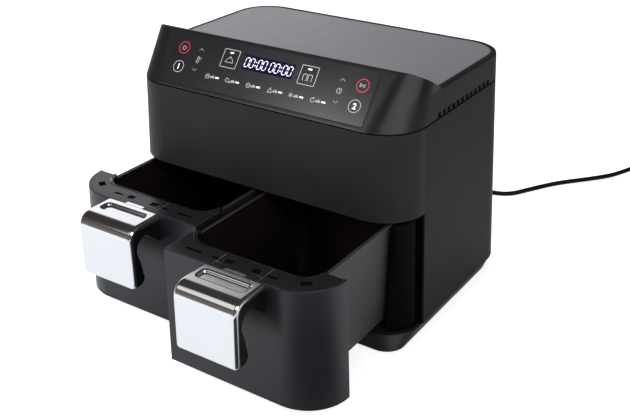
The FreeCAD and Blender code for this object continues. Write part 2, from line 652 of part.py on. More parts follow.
def power_board():
    y1 = CAVITY_BACK - POWER_BOARD_GAP
    y0 = y1 - POWER_BOARD_LENGTH
    board = box(-POWER_BOARD_HALF, POWER_BOARD_HALF, y0, y1, POWER_BOARD_Z, POWER_BOARD_Z + BOARD_THICKNESS)
    parts = [board]
    for x, width, height in POWER_BLOCKS:
        parts.append(box(x, x + width, y0 + POWER_BOARD_MARGIN, y1 - POWER_BOARD_MARGIN,
                         POWER_BOARD_Z + 1, POWER_BOARD_Z + height))
    corner_x = POWER_BOARD_HALF - 2 * POWER_BOARD_POST
    for x in (-corner_x, corner_x):
        for y in (y0 + 2 * POWER_BOARD_POST, y1 - 2 * POWER_BOARD_POST):
            parts.append(rod(POWER_BOARD_POST, x, y, SHIELD_TOP, POWER_BOARD_Z + BOARD_THICKNESS / 2))
    return fuse(parts)


SWITCH_DEPTH = 9.0


def drawer_switches():
    back = FRONT + SIDE_START
    body = box(CAVITY_CENTRE - 10, CAVITY_CENTRE + 10, back - SWITCH_DEPTH, back,
               FASCIA_BOTTOM + WALL + 1, FASCIA_BOTTOM + WALL + 12)
    return Part.makeCompound([body, mirrored(body)])


# ---- drawer, drawn for the right and closed

def drawer_front():
    z0, z1 = DRAWER_BOTTOM, DRAWER_TOP
    inner_x = CENTRE_GAP / 2
    keep = box(inner_x, 250, FRONT - 5, FRONT + DRAWER_SIDE_LENGTH, 0, CREST)
    outer = soften(body_block(z0, z1), SOFT_EDGE, lambda spot: abs(spot.z - z1) < 0.01)
    skin = outer.cut(body_block(z0 - 1, z1 + 1, DRAWER_WALL))
    floor = body_block(z0, z0 + DRAWER_WALL, DRAWER_WALL / 2).common(
        box(inner_x, CAVITY_CENTRE + CAVITY_HALF_WIDTH - SOFT_EDGE, FRONT, back_of(0), 0, CREST))
    side = box(inner_x, inner_x + DRAWER_WALL, FRONT + 1, FRONT + DRAWER_SIDE_LENGTH - 8, z0, z1)
    pieces = [skin.common(keep), floor.common(keep), side]
    for x in (inner_x + 20, HANDLE_CENTRE - 34, HANDLE_CENTRE + 34, CAVITY_CENTRE + PAN_HALF_WIDTH - 20):
        pieces.append(box(x - 1, x + 1, FRONT + 1, PAN_FRONT - RUN_GAP, z0 + 1, RIM_TOP - RIM_HEIGHT))
        pieces.append(box(x - 1, x + 1, FRONT + 1, FRONT + 9, z0 + 1, RIM_TOP))
        pieces.append(box(x - 1, x + 1, PAN_FRONT + 10, FRONT + DRAWER_SIDE_LENGTH, z0 + 1, PAN_BOTTOM))
    front = fuse(pieces)
    notch = box(HANDLE_CENTRE - TAB_HALF_WIDTH - 0.2, HANDLE_CENTRE + TAB_HALF_WIDTH + 0.2,
                FRONT - 1, FRONT + TAB_LENGTH + 0.2, z1 - COVER_WALL - 0.2, z1 + 1)
    holes = [rod_y(SCREW_RADIUS + 0.2, x, z, FRONT - 2, FRONT + DRAWER_WALL + 1) for x, z in handle_screw_spots()]
    heads = [rod_y(SCREW_RADIUS * 2 + 0.2, x, z, FRONT + DRAWER_WALL, FRONT + DRAWER_WALL + 4)
             for x, z in handle_screw_spots()]
    return front.cut(fuse([notch] + holes + heads))


def handle_screw_spots():
    z = DRAWER_TOP - 18
    return [(HANDLE_CENTRE - 24, z), (HANDLE_CENTRE + 24, z)]


FRAME_SLOTS = [(31.0, 22.0, 3.5), (62.0, 12.0, 3.5), (133.0, 14.0, 3.5)]
SLOT_SETBACK = 15.0
BRACKET_HALF_WIDTH = 28.0
BRACKET_FRONT = 8.0
BRACKET_BACK = 25.0


def drawer_frame():
    z0, z1 = RIM_TOP, DRAWER_TOP
    inset = DRAWER_WALL + PANEL_GAP
    inner_x = CENTRE_GAP / 2 + inset
    plate = body_block(z0, z1, inset).common(
        box(inner_x, 250, FRONT, FRONT + DRAWER_SIDE_LENGTH - 1, 0, CREST))
    x0, x1 = CAVITY_CENTRE - PAN_HALF_WIDTH, CAVITY_CENTRE + PAN_HALF_WIDTH
    opening = rounded_box(x0 + 1, x1 - 1, PAN_FRONT + 1, PAN_FRONT + PAN_LENGTH, z0 - 1, z1 + 1,
                          PAN_CORNER - 1)
    bracket = box(HANDLE_CENTRE - BRACKET_HALF_WIDTH - PANEL_GAP, HANDLE_CENTRE + BRACKET_HALF_WIDTH + PANEL_GAP,
                  FRONT + BRACKET_FRONT - PANEL_GAP, FRONT + BRACKET_BACK + PANEL_GAP,
                  z0 + FRAME_PLATE / 3, z1 + 1)
    tab = box(HANDLE_CENTRE - TAB_HALF_WIDTH - 0.2, HANDLE_CENTRE + TAB_HALF_WIDTH + 0.2,
              FRONT, FRONT + TAB_LENGTH + 0.2, z1 - COVER_WALL - 0.2, z1 + 1)
    cuts = [opening, bracket, tab]
    for x, length, width in FRAME_SLOTS:
        y = FRONT + SLOT_SETBACK
        cuts.append(box(x - length / 2, x + length / 2, y - width / 2, y + width / 2, z0 - 1, z1 + 1))
    corner = box(-6, 6, -4, 4, z0 - 1, z1 + 1)
    corner.Placement = Placement(Vector(170, FRONT + 24, 0), Rotation(Vector(0, 0, 1), 35))
    return plate.cut(fuse(cuts + [corner]))


def handle_bracket():
    z0, z1 = RIM_TOP + FRAME_PLATE / 3, DRAWER_TOP
    x0, x1 = HANDLE_CENTRE - BRACKET_HALF_WIDTH, HANDLE_CENTRE + BRACKET_HALF_WIDTH
    block = box(x0, x1, FRONT + BRACKET_FRONT, FRONT + BRACKET_BACK, z0, z1)
    pockets = [box(HANDLE_CENTRE + dx - 5, HANDLE_CENTRE + dx + 5, FRONT + 12, FRONT + 20, z1 - 1.2, z1 + 1)
               for dx in (-18, 18)]
    return block.cut(fuse(pockets))


def handle_profile(inset, bottom_inset):
    """Top plate, bend and front face of the handle as seen from the side."""
    y0, top = FRONT, DRAWER_TOP - inset
    face, bend = FRONT - HANDLE_REACH + inset, HANDLE_BEND - inset
    middle = (face + bend * (1 - math.sqrt(0.5)), top - bend * (1 - math.sqrt(0.5)))
    return [(y0, top), (face + bend, top), (middle[0], middle[1], (face, top - bend)),
            (face, DRAWER_TOP - HANDLE_DROP + bottom_inset)]


def handle_cover():
    x0, x1 = HANDLE_CENTRE - HANDLE_HALF_WIDTH, HANDLE_CENTRE + HANDLE_HALF_WIDTH
    outer = handle_profile(0.0, 0.0)
    inner = handle_profile(COVER_WALL, 0.0)
    ends = [inner[3], inner[2][2], (inner[2][0], inner[2][1], inner[1]), inner[0]]
    skin = along_x(outer + ends, x0, x1)
    y1 = FRONT - 8.0
    pocket_top = DRAWER_TOP + 1
    well = [HANDLE_CENTRE - POCKET_HALF_WIDTH, HANDLE_CENTRE + POCKET_HALF_WIDTH, y1 - POCKET_LENGTH, y1]
    tub = rounded_box(well[0] - 1, well[1] + 1, well[2] - 1, well[3] + 1,
                      DRAWER_TOP - POCKET_DEPTH - 1, DRAWER_TOP - 0.5, 5.0)
    hollow = rounded_box(*well, DRAWER_TOP - POCKET_DEPTH, pocket_top, 4.0)
    tab = box(HANDLE_CENTRE - TAB_HALF_WIDTH, HANDLE_CENTRE + TAB_HALF_WIDTH,
              FRONT - 1, FRONT + TAB_LENGTH, DRAWER_TOP - COVER_WALL, DRAWER_TOP)
    cover = fuse([skin, tub, tab]).cut(hollow)
    return soften(cover, COVER_WALL / 4, lambda spot: abs(spot.z - DRAWER_TOP) < 0.01 and spot.y < y1 + 1 and
                  spot.y > y1 - POCKET_LENGTH - 1 and abs(spot.x - HANDLE_CENTRE) < POCKET_HALF_WIDTH + 1)


GRIP_LOBE = 17.0
GRIP_NECK = 10.0
GRIP_ROOT = 35.0


def handle_grip():
    x0, x1 = HANDLE_CENTRE - HANDLE_HALF_WIDTH + 1, HANDLE_CENTRE + HANDLE_HALF_WIDTH - 1
    outer = handle_profile(COVER_WALL + 0.1, 1.0)
    low = outer[3][1]
    face = outer[3][0]
    top = DRAWER_TOP
    inner = [(face, low), (face + GRIP_LOBE * 0.6, low),
             (face + GRIP_LOBE * 0.96, low + 3, (face + GRIP_LOBE, low + 13)),
             (face + GRIP_LOBE - 3, low + 28, (face + GRIP_NECK, low + 40)),
             (face + GRIP_NECK + 5, top - 20, (face + GRIP_LOBE + 8, top - 16)),
             (FRONT - 10, top - 27, (FRONT, top - GRIP_ROOT))]
    grip = along_x(outer[:3] + inner, x0, x1)
    y1 = FRONT - 8.0
    tub = rounded_box(HANDLE_CENTRE - POCKET_HALF_WIDTH - 1.3, HANDLE_CENTRE + POCKET_HALF_WIDTH + 1.3,
                      y1 - POCKET_LENGTH - 1.3, y1 + 1.3, DRAWER_TOP - POCKET_DEPTH - 1.3, DRAWER_TOP, 5.0)
    holes = [rod_y(SCREW_RADIUS + SCREW_CLEARANCE, x, z, FRONT - 7.4, FRONT + 1) for x, z in handle_screw_spots()]
    return grip.cut(fuse([tub] + holes))


def handle_screws():
    screws = []
    for x, z in handle_screw_spots():
        head = rod_y(SCREW_RADIUS * 2, x, z, FRONT + DRAWER_WALL, FRONT + DRAWER_WALL + 2.5)
        screws.append(fuse([head, rod_y(SCREW_RADIUS, x, z, FRONT - 7, FRONT + DRAWER_WALL + 1)]))
    return Part.makeCompound(screws)


def pan_outline(z, inset):
    share = (RIM_TOP - z) / (RIM_TOP - PAN_BOTTOM)
    shrink = PAN_TAPER * share + inset
    x0, x1 = CAVITY_CENTRE - PAN_HALF_WIDTH, CAVITY_CENTRE + PAN_HALF_WIDTH
    return outline(z, x0 + shrink, x1 - shrink, PAN_FRONT + shrink, PAN_FRONT + PAN_LENGTH - shrink,
                   PAN_CORNER - inset, PAN_CORNER - inset)


def pan():
    body = loft(pan_outline(PAN_BOTTOM, 0), pan_outline(RIM_TOP, 0))
    x0, x1 = CAVITY_CENTRE - PAN_HALF_WIDTH, CAVITY_CENTRE + PAN_HALF_WIDTH
    body = soften(body, PAN_EDGE, lambda spot: spot.z < PAN_BOTTOM + 0.01)
    rim = rounded_box(x0 - RIM_WIDTH, x1 + RIM_WIDTH, PAN_FRONT - RIM_WIDTH, PAN_FRONT + PAN_LENGTH + RIM_WIDTH,
                      RIM_TOP - RIM_HEIGHT, RIM_TOP, PAN_CORNER + RIM_WIDTH)
    inside = soften(loft(pan_outline(PAN_BOTTOM + PAN_WALL, PAN_WALL), pan_outline(RIM_TOP + 2, PAN_WALL)),
                    PAN_EDGE - PAN_WALL, lambda spot: spot.z < PAN_BOTTOM + PAN_WALL + 0.01)
    return fuse([body, rim]).cut(inside)


def plate_edge():
    """Half width and length of the crisper plate, one gap inside the pan wall at its height."""
    share = (RIM_TOP - PLATE_BOTTOM) / (RIM_TOP - PAN_BOTTOM)
    shrink = PAN_TAPER * share + PAN_WALL + PLATE_GAP
    return PAN_HALF_WIDTH - shrink, PAN_LENGTH - 2 * shrink, PAN_FRONT + shrink


def crisper_plate():
    half, length, y0 = plate_edge()
    z0, z1 = PLATE_BOTTOM, PLATE_BOTTOM + PLATE_THICKNESS
    plate = rounded_box(CAVITY_CENTRE - half, CAVITY_CENTRE + half, y0, y0 + length, z0, z1,
                        PAN_CORNER - PLATE_GAP)
    ridges = []
    columns = int((2 * half - 24) / PLATE_PITCH)
    rows = int((length - 24) / PLATE_PITCH)
    holes = []
    for column in range(columns + 1):
        x = CAVITY_CENTRE + (column - columns / 2) * PLATE_PITCH
        if column < columns:
            ridge = x + PLATE_PITCH / 2
            ridges.append(box(ridge - 1.2, ridge + 1.2, y0 + 14, y0 + length - 14, z1 - 0.5, z1 + 2))
        for row in range(rows + 1):
            y = y0 + length / 2 + (row - rows / 2) * PLATE_PITCH
            holes.append(rod(PLATE_HOLE, x, y, z0 - 1, z1 + 1))
    return fuse([plate] + ridges).cut(Part.makeCompound(holes))


FOOT_PAD_RADIUS = 5.0


def plate_feet():
    half, length, y0 = plate_edge()
    inset = PLATE_PITCH * 0.9
    pads = []
    for x in (CAVITY_CENTRE - half + inset, CAVITY_CENTRE + half - inset):
        for y in (y0 + inset, y0 + length - inset):
            pads.append(rod(FOOT_PAD_RADIUS, x, y, PAN_BOTTOM + PAN_WALL + RUN_GAP, PLATE_BOTTOM))
    return Part.makeCompound(pads)


# ---- mains lead

CORD_POINTS = [(-95, 283, 60), (-95, 318, 60), (-84, 352, 36), (-62, 383, 3.6), (-12, 400, 3.6),
               (42, 405, 3.6), (96, 429, 3.6), (137, 436, 3.6), (160, 477, 3.6), (186, 521, 3.6),
               (221, 561, 3.6), (253, 598, 4.5), (279, 637, 11.5), (300, 676, 18.2), (322, 713, 18.2)]


def cord_start():
    return Vector(CORD_EXIT_X, back_of(CORD_EXIT_HEIGHT) + BOOT_LENGTH, CORD_EXIT_HEIGHT)


def cord_path():
    """Straight runs joined by arcs that touch both runs."""
    points = [cord_start()] + [Vector(*p) for p in CORD_POINTS[1:]]
    edges, here = [], points[0]
    for before, corner, after in zip(points, points[1:], points[2:]):
        run_in, run_out = corner - before, after - corner
        turn = run_in.getAngle(run_out)
        cut = 0.45 * min(run_in.Length, run_out.Length)
        way_in = Vector(run_in).normalize()
        way_out = Vector(run_out).normalize()
        start, end = corner - way_in * cut, corner + way_out * cut
        inward = Vector(way_out - way_in).normalize()
        radius = cut / math.tan(turn / 2)
        middle = corner + inward * (radius / math.cos(turn / 2) - radius)
        edges.append(Part.makeLine(here, start))
        edges.append(Part.Arc(start, middle, end).toShape())
        print("cord bend radius", round(radius, 1))
        here = end
    edges.append(Part.makeLine(here, points[-1]))
    return Part.Wire(edges)


def mains_cord():
    path = cord_path()
    start = path.Edges[0].Vertexes[0].Point
    ring = Part.Wire([Part.makeCircle(CORD_RADIUS, start, path.Edges[0].tangentAt(0))])
    return path.makePipeShell([ring], True, False)


def strain_relief():
    face = back_of(CORD_EXIT_HEIGHT)
    seat = face - WALL - PANEL_GAP - FLARE * (BOOT_HOLE + 3)
    collar = rod_y(BOOT_HOLE + 3, CORD_EXIT_X, CORD_EXIT_HEIGHT, seat - 3, seat)
    neck = rod_y(BOOT_HOLE - 0.1, CORD_EXIT_X, CORD_EXIT_HEIGHT, face - WALL - 1, face + 3)
    boot = Part.makeCone(BOOT_HOLE, CORD_RADIUS + 1, BOOT_LENGTH - 2,
                         Vector(CORD_EXIT_X, face + 2, CORD_EXIT_HEIGHT), Vector(0, 1, 0))
    return fuse([collar, neck, boot])


PLUG_GRIP_RADIUS = 9.0
PLUG_NECK = 16.0
PIN_RADIUS = 2.4
PIN_LENGTH = 19.0
PIN_SPACING = 19.0


def mains_plug():
    """A round earthed plug lying on the table, its axis level and its two pins side by side."""
    start, end = (Vector(*p) for p in CORD_POINTS[-2:])
    along = Vector(1, 0, 0)
    sleeve = Part.makeCone(CORD_RADIUS + 1, PLUG_GRIP_RADIUS, PLUG_NECK, Vector(0, 0, 0), along)
    swell = Part.makeCone(PLUG_GRIP_RADIUS, PLUG_RADIUS, PLUG_LENGTH - 2 * PLUG_NECK, Vector(PLUG_NECK, 0, 0), along)
    drum = Part.makeCylinder(PLUG_RADIUS, PLUG_NECK, Vector(PLUG_LENGTH - PLUG_NECK, 0, 0), along)
    pins = [Part.makeCylinder(PIN_RADIUS, PIN_LENGTH + 1, Vector(PLUG_LENGTH - 1, side * PIN_SPACING / 2, 0), along)
            for side in (-1, 1)]
    plug = fuse([sleeve, swell, drum] + pins)
    heading = math.degrees(math.atan2(end.y - start.y, end.x - start.x))
    plug.Placement = Placement(end, Rotation(Vector(0, 0, 1), heading))
    return plug


# ---- every piece

SINGLE = {"top_cover": top_cover, "touch_panel": touch_panel, "display_module": display_module,
          "touch_springs": touch_springs, "control_board": control_board, "board_screws": board_screws,
          "fascia": fascia, "housing_shell": housing_shell, "front_frame": front_frame,
          "base_tray": base_tray, "rubber_feet": rubber_feet, "base_screws": base_screws,
          "power_board": power_board, "drawer_switches": drawer_switches,
          "strain_relief": strain_relief, "mains_cord": mains_cord, "mains_plug": mains_plug}
SIDED = {"liner": liner, "heat_shield": heat_shield, "heating_element": heating_element,
         "element_guard": element_guard, "hot_fan": hot_fan, "cooling_fan": cooling_fan,
         "fan_shaft": fan_shaft, "fan_motor": fan_motor, "motor_bracket": motor_bracket,
         "exhaust_duct": exhaust_duct}
DRAWER = {"drawer_front": drawer_front, "drawer_frame": drawer_frame, "handle_bracket": handle_bracket,
          "handle_cover": handle_cover, "handle_grip": handle_grip, "handle_screws": handle_screws,
          "pan": pan, "crisper_plate": crisper_plate, "plate_feet": plate_feet}


def save(name, shape):
    shape.exportStep("parts/" + name + ".step")
    print(name, "solids", len(shape.Solids), "valid", shape.isValid(), "volume", round(shape.Volume))


os.makedirs("parts", exist_ok=True)
for name, make in SINGLE.items():
    save(name, make())
for name, make in SIDED.items():
    shape = make()
    save("right_" + name, shape)
    save("left_" + name, mirrored(shape))
for name, make in DRAWER.items():
    shape = make()
    right, left = shape.copy(), mirrored(shape)
    right.translate(Vector(0, -PULL_RIGHT, 0))
    left.translate(Vector(0, -PULL_LEFT, 0))
    save("right_" + name, right)
    save("left_" + name, left)
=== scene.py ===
import json
import math

import bmesh
import bpy
import numpy as np
from mathutils import Matrix, Vector


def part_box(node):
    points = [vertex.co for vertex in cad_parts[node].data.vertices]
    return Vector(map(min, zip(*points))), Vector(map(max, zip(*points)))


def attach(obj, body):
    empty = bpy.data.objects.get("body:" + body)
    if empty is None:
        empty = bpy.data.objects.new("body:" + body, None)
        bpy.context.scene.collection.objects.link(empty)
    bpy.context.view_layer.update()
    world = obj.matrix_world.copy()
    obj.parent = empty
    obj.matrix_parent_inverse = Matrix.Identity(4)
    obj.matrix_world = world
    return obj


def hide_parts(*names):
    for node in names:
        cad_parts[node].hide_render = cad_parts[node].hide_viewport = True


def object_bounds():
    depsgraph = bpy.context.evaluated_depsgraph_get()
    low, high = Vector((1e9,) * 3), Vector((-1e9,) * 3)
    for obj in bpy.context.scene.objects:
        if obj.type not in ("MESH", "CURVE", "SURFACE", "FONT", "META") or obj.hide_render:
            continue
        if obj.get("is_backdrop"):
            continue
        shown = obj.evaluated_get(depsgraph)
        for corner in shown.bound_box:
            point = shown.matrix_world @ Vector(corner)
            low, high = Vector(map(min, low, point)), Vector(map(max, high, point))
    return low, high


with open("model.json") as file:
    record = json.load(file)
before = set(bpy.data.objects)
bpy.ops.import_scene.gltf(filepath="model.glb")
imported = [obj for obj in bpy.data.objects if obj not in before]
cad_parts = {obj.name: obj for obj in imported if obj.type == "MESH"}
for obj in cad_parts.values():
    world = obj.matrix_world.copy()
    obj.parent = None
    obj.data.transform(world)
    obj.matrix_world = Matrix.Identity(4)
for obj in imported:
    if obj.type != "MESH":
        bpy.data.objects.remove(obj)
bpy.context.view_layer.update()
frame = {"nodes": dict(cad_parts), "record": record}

nodes = frame["nodes"]
print("frame loaded:", len(nodes), "nodes")


class Value:
    # One output socket of a node tree; maths on it adds Math nodes.
    def __init__(self, tree, socket):
        self.tree = tree
        self.socket = socket

    def __add__(self, other):
        return self.tree.maths("ADD", self, other)

    def __sub__(self, other):
        return self.tree.maths("SUBTRACT", self, other)

    def __rsub__(self, other):
        return self.tree.maths("SUBTRACT", other, self)

    def __mul__(self, other):
        return self.tree.maths("MULTIPLY", self, other)

    def __abs__(self):
        return self.tree.maths("ABSOLUTE", self)

    def __gt__(self, other):
        return self.tree.maths("GREATER_THAN", self, other)

    def __lt__(self, other):
        return self.tree.maths("LESS_THAN", self, other)

    __radd__ = __add__
    __rmul__ = __mul__

    def step(self, low, high):
        # 0 below low, 1 above high, an S curve between them
        return self.tree.node("ShaderNodeMapRange", {"interpolation_type": "SMOOTHSTEP"},
                              {"Value": self, "From Min": low, "From Max": high})


class Tree:
    # A node tree written as Python: node() adds any node, and values or links go to its sockets by name.
    def __init__(self, tree):
        self.tree = tree
        tree.nodes.clear()

    def node(self, kind, settings=None, sockets=None, out=0):
        made = self.tree.nodes.new(kind)
        for name, value in (settings or {}).items():
            setattr(made, name, value)
        for name, value in (sockets or {}).items():
            socket = made.inputs[name]
            if isinstance(value, Value):
                self.tree.links.new(value.socket, socket)
            elif isinstance(value, tuple) and socket.type == "RGBA":
                socket.default_value = (*value, 1.0)
            else:
                socket.default_value = value
        return Value(self, made.outputs[out]) if made.outputs else made

    def outputs(self, kind, names, sockets=None):
        # several outputs of one node
        made = self.node(kind, None, sockets).socket.node
        return [Value(self, made.outputs[name]) for name in names]

    def maths(self, operation, *values):
        return self.node("ShaderNodeMath", {"operation": operation}, dict(enumerate(values)))

    def mix(self, factor, first, second):
        # first where the factor is 0, second where it is 1
        return self.node("ShaderNodeMix", {"data_type": "RGBA"}, {0: factor, 6: first, 7: second}, out=2)

    def place(self):
        return self.node("ShaderNodeTexCoord", out="Object")

    def axes(self):
        return self.outputs("ShaderNodeSeparateXYZ", "XYZ", {"Vector": self.place()})

    def noise(self, scale, detail=2.0, rough=0.5, where=None):
        return self.node("ShaderNodeTexNoise", None, {"Vector": where or self.place(), "Scale": scale,
                                                      "Detail": detail, "Roughness": rough})

    def bump(self, height, depth):
        return self.node("ShaderNodeBump", None, {"Height": height, "Distance": depth})


def material(name, build, **looks):
    # build(tree, looks) gives the other sockets of one Principled shader
    made = bpy.data.materials.new(name)
    made.use_nodes = True
    tree = Tree(made.node_tree)
    sockets = {"Specular IOR Level": looks.get("specular", 0.5), **build(tree, looks)}
    shader = tree.node("ShaderNodeBsdfPrincipled", None, sockets)
    tree.node("ShaderNodeOutputMaterial", None, {"Surface": shader})
    return made


def shade(colour, factor):
    # every channel times the factor
    return tuple(channel * factor for channel in colour)


def mouldedPlastic(tree, looks):
    # base colour with a slow drift, roughness with a finer one, and a spark-eroded grain as bump
    drift = tree.noise(9.0, 3.0)
    cloud = tree.noise(60.0, 3.0)
    scale, depth = looks["grain"]
    pits = tree.noise(scale * 0.37, 2.0)
    low, high = shade(looks["colour"], 0.86), shade(looks["colour"], 1.14)
    return {"Base Color": tree.mix(drift.step(0.3, 0.7), low, high),
            "Roughness": cloud * 0.08 + drift * 0.06 + (looks["rough"] - 0.07),
            "Normal": tree.bump(tree.noise(scale, 1.0) + pits * 0.6, depth)}


def roundedDepth(tree, pastSide, pastEnd, corner):
    # how far inside a rounded rectangle a point lies, from its distances past the two straight sides
    fromSide, fromEnd = pastSide + corner, pastEnd + corner
    outX, outY = tree.maths("MAXIMUM", fromSide, 0.0), tree.maths("MAXIMUM", fromEnd, 0.0)
    inner = tree.maths("MINIMUM", tree.maths("MAXIMUM", fromSide, fromEnd), 0.0)
    return corner - inner - tree.maths("SQRT", outX * outX + outY * outY)


def lidAndHead(tree, looks):
    # the flat lid is a lighter satin sheet; the slanted head, and a rim along the lid's outline, stay black
    x, y, z = tree.axes()
    cloud = tree.noise(60.0, 3.0)
    scale, depth = looks["grain"]
    hair, soft = looks["hair"], looks["soft"]
    edge = roundedDepth(tree, abs(x) - looks["halfWidth"], y - looks["back"], looks["corner"])
    flat = (z > looks["level"] - hair) * (z < looks["level"] + hair) * (y > looks["start"])
    sheet = flat * edge.step(looks["rim"] - soft, looks["rim"] + soft)
    rim = flat - sheet
    # the cover's two upright sides are rougher than its head
    flankLow, flankHigh = looks["flank"]
    flank = abs(x).step(looks["halfWidth"] + flankLow, looks["halfWidth"] + flankHigh)
    flank = flank * (z < looks["level"] - looks["flankTop"])
    drift = tree.noise(5.0, 3.0).step(0.3, 0.7)
    lid = tree.mix(drift, looks["lidLow"], looks["lidHigh"])
    head = tree.mix(drift, looks["colour"], shade(looks["colour"], 1.25))
    rough = cloud * 0.08 + sheet * looks["lidRougher"] + rim * looks["rimRougher"]
    return {"Base Color": tree.mix(sheet, head, lid),
            "Roughness": rough + flank * looks["flankRougher"] + (looks["rough"] - 0.04),
            "Normal": tree.bump(tree.noise(scale, 1.0), depth)}


def frameTop(tree, looks):
    # glossy black plate whose recesses, just below its top, are left matt, with a deeper black there as
    # painted shade
    z = tree.axes()[2]
    scale, depth = looks["grain"]
    sunk = z < looks["level"] - looks["recess"]
    drift = tree.noise(9.0, 3.0)
    plate = tree.mix(drift, looks["colour"], shade(looks["colour"], 1.3))
    # sunk marks the recesses: their darker colour is painted shade, their higher roughness a real matt finish
    return {"Base Color": tree.mix(sunk, plate, looks["sunk"]),
            "Roughness": drift * 0.08 + sunk * looks["sunkRougher"] + (looks["rough"] - 0.04),
            "Normal": tree.bump(tree.noise(scale, 1.0), depth)}


def polishedMetal(tree, looks):
    # mirror plating: very low roughness that rises in faint wiped smears
    smear = tree.noise(22.0, 4.0, 0.6)
    fine = tree.noise(900.0, 2.0)
    return {"Base Color": tree.mix(smear, looks["colour"], shade(looks["colour"], 0.95)),
            "Metallic": 1.0,
            "Roughness": smear.step(0.45, 0.75) * looks["smear"] + fine * 0.01 + looks["rough"],
            "Normal": tree.bump(tree.noise(14.0, 1.0), 0.00012)}


def rolledSteel(tree, looks):
    # sheet metal: streaks as fine across each axis as drawn says, and a heat tint that drifts over it
    stretch = tree.node("ShaderNodeVectorMath", {"operation": "MULTIPLY"},
                        {0: tree.place(), 1: looks["drawn"]})
    streak = tree.noise(1.0, 4.0, 0.6, stretch)
    tint = tree.noise(16.0, 2.0)
    return {"Base Color": tree.mix(tint.step(0.35, 0.7), looks["colour"], looks["tint"]),
            "Metallic": 1.0,
            "Roughness": streak * 0.2 + (looks["rough"] - 0.1),
            "Normal": tree.bump(streak, 0.00003)}


def nonStick(tree, looks):
    # sprayed coating: fine speckle in colour and roughness over an orange-peel bump
    speckle = tree.noise(2600.0, 1.0).step(0.6, 0.72)
    peel = tree.noise(420.0, 2.0)
    # outside is beyond the middle of the pan's wall, whose outline tapers downwards and turns into the floor
    x, y, z = tree.axes()
    side = tree.maths("SIGN", x)
    narrower = (looks["top"] - z) * looks["taper"] + looks["halfWall"]
    wall = roundedDepth(tree, abs(x - side * looks["middle"]) - looks["halfWidth"] + narrower,
                        abs(y - side * looks["shift"] - looks["between"]) - looks["halfLength"] + narrower,
                        looks["corner"])
    turn = looks["turn"]
    nearWall = tree.maths("MAXIMUM", turn - wall, 0.0)
    nearFloor = tree.maths("MAXIMUM", turn + looks["floor"] + looks["halfWall"] - z, 0.0)
    outside = nearWall * nearWall + nearFloor * nearFloor > turn * turn
    coat = tree.mix(outside, looks["inner"], looks["colour"])
    fleck = tree.mix(outside, looks["innerFleck"], looks["fleck"])
    return {"Base Color": tree.mix(speckle * 0.5, coat, fleck),
            "Roughness": peel * 0.12 + (looks["rough"] - 0.06),
            "Normal": tree.bump(peel + speckle * 0.3, 0.00005)}


def glossBlack(tree, looks):
    # polished sheet: almost no grain, faint cloudy smears in its roughness
    smear = tree.noise(11.0, 4.0, 0.6)
    return {"Base Color": tree.mix(tree.noise(5.0), looks["colour"], shade(looks["colour"], 1.3)),
            "Roughness": smear.step(0.3, 0.8) * looks["smear"] + looks["rough"],
            "Normal": tree.bump(tree.noise(30.0, 1.0), 0.00004)}


def circuitBoard(tree, looks):
    # solder mask with copper tracks showing through as straight lighter lines
    across = tree.axes()[0]
    lanes = tree.maths("PINGPONG", across * 400.0 + tree.noise(30.0) * 1.5, 1.0)
    return {"Base Color": tree.mix(lanes.step(0.72, 0.8), looks["colour"], looks["track"]),
            "Roughness": lanes * 0.1 + 0.35,
            "Normal": tree.bump(lanes.step(0.7, 0.8), 0.00006)}


def softRubber(tree, looks):
    # matt skin with a fine even grain and a little bloom
    bloom = tree.noise(40.0, 3.0)
    return {"Base Color": tree.mix(bloom.step(0.4, 0.75), looks["colour"], shade(looks["colour"], 1.5)),
            "Roughness": bloom * 0.12 + (looks["rough"] - 0.06),
            "Normal": tree.bump(tree.noise(1500.0, 1.0), 0.00003)}


def litMark(tree, looks):
    # printed or back-lit mark: its ink, and its glow where the lamp behind is on
    cloud = tree.noise(200.0)
    lit = tree.mix(cloud.step(0.2, 0.9) * 0.25, looks["glow"], shade(looks["glow"], 0.8))
    return {"Base Color": tree.mix(cloud * 0.2, looks["ink"], shade(looks["ink"], 0.85)),
            "Roughness": cloud * 0.1 + 0.3,
            "Emission Color": lit,
            "Emission Strength": looks["power"]}


